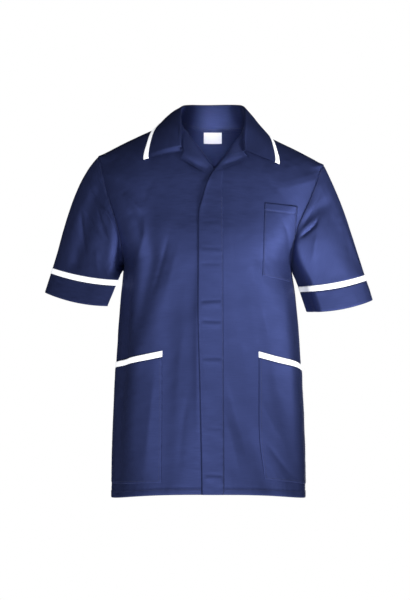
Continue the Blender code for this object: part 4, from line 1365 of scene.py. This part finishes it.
stage = {
    "floorZ": -3.40,
    "floorRadius": 3.0,
    "floorColour": (0.80, 0.80, 0.80, 1),
    "domeRadius": 14.0,
    "ambient": 0.95,
}
view = {"place": (-0.0064, -4.0, -0.372), "sensorHeight": 36, "lens": 113.2}  # level, 4 m in front
lamps = [
    {"name": "keyLow", "place": (2.2, -2.7, -3.1), "aim": (0.18, -0.1, -0.60),
     "size": 1.3, "watts": 1.85, "spread": 22},
    {"name": "sideLow", "place": (3.4, -2.2, -1.3), "aim": (0.36, 0, -0.26),
     "size": 0.6, "watts": 1.7, "spread": 12},
    {"name": "fillLow", "place": (-0.5, -4.0, -2.2), "aim": (-0.03, 0, -0.33),
     "size": 1.2, "watts": 5.6, "spread": 30},
    {"name": "neckFill", "place": (0.10, -4.0, 0.20), "aim": (0.010, 0.06, -0.014),
     "size": 0.03, "watts": 0.036, "spread": 2.5},
    {"name": "backFill", "place": (0.2, 3.6, -0.9), "aim": (0, 0, -0.4),
     "size": 2.0, "watts": 90, "spread": 180},
]


def stagePiece(name, mesh, material):
    piece = newObject(name, mesh, material)
    return piece


floorMesh = bmesh.new()
bmesh.ops.create_circle(floorMesh, cap_ends=True, segments=96, radius=stage["floorRadius"])
bmesh.ops.translate(floorMesh, verts=floorMesh.verts, vec=(0, 0, stage["floorZ"]))
stagePiece("floor", floorMesh, Shader("paleFloor", 0.9).paint(Base_Color=stage["floorColour"]))
domeMesh = bmesh.new()
bmesh.ops.create_uvsphere(domeMesh, u_segments=48, v_segments=24, radius=stage["domeRadius"])
bmesh.ops.reverse_faces(domeMesh, faces=domeMesh.faces)
white = Shader("whiteBackdrop", 1.0, **{"Emission Strength": 1.0, "Specular IOR Level": 0.0})
dome = stagePiece("backdrop", domeMesh, white.paint(Base_Color=(0, 0, 0, 1), Emission_Color=(1, 1, 1, 1)))
for ray in ("diffuse", "glossy", "transmission", "shadow", "volume_scatter"):
    setattr(dome, "visible_" + ray, False)

camera = bpy.data.cameras.new("camera")
camera.sensor_fit = "VERTICAL"
camera.sensor_height = view["sensorHeight"]
camera.lens = view["lens"]
cameraObject = bpy.data.objects.new("camera", camera)
cameraObject.location = view["place"]
cameraObject.rotation_euler = (radians(90), 0, 0)
bpy.context.scene.collection.objects.link(cameraObject)
bpy.context.scene.camera = cameraObject

for settings in lamps:
    light = bpy.data.lights.new(settings["name"], "AREA")
    light.energy = settings["watts"]
    light.size = settings["size"]
    light.spread = radians(settings["spread"])
    lamp = bpy.data.objects.new(settings["name"], light)
    lamp.location = settings["place"]
    lamp.rotation_euler = (Vector(settings["aim"]) - lamp.location).to_track_quat("-Z", "Y").to_euler()
    bpy.context.scene.collection.objects.link(lamp)

world = bpy.data.worlds.new("studio")
world.use_nodes = True
world.node_tree.nodes["Background"].inputs[0].default_value = (1, 1, 1, 1)
world.node_tree.nodes["Background"].inputs[1].default_value = stage["ambient"]
world.cycles_visibility.glossy = False
bpy.context.scene.world = world
bpy.context.scene.view_settings.view_transform = "Standard"
bpy.context.scene.view_settings.look = "None"
print("stage ready")
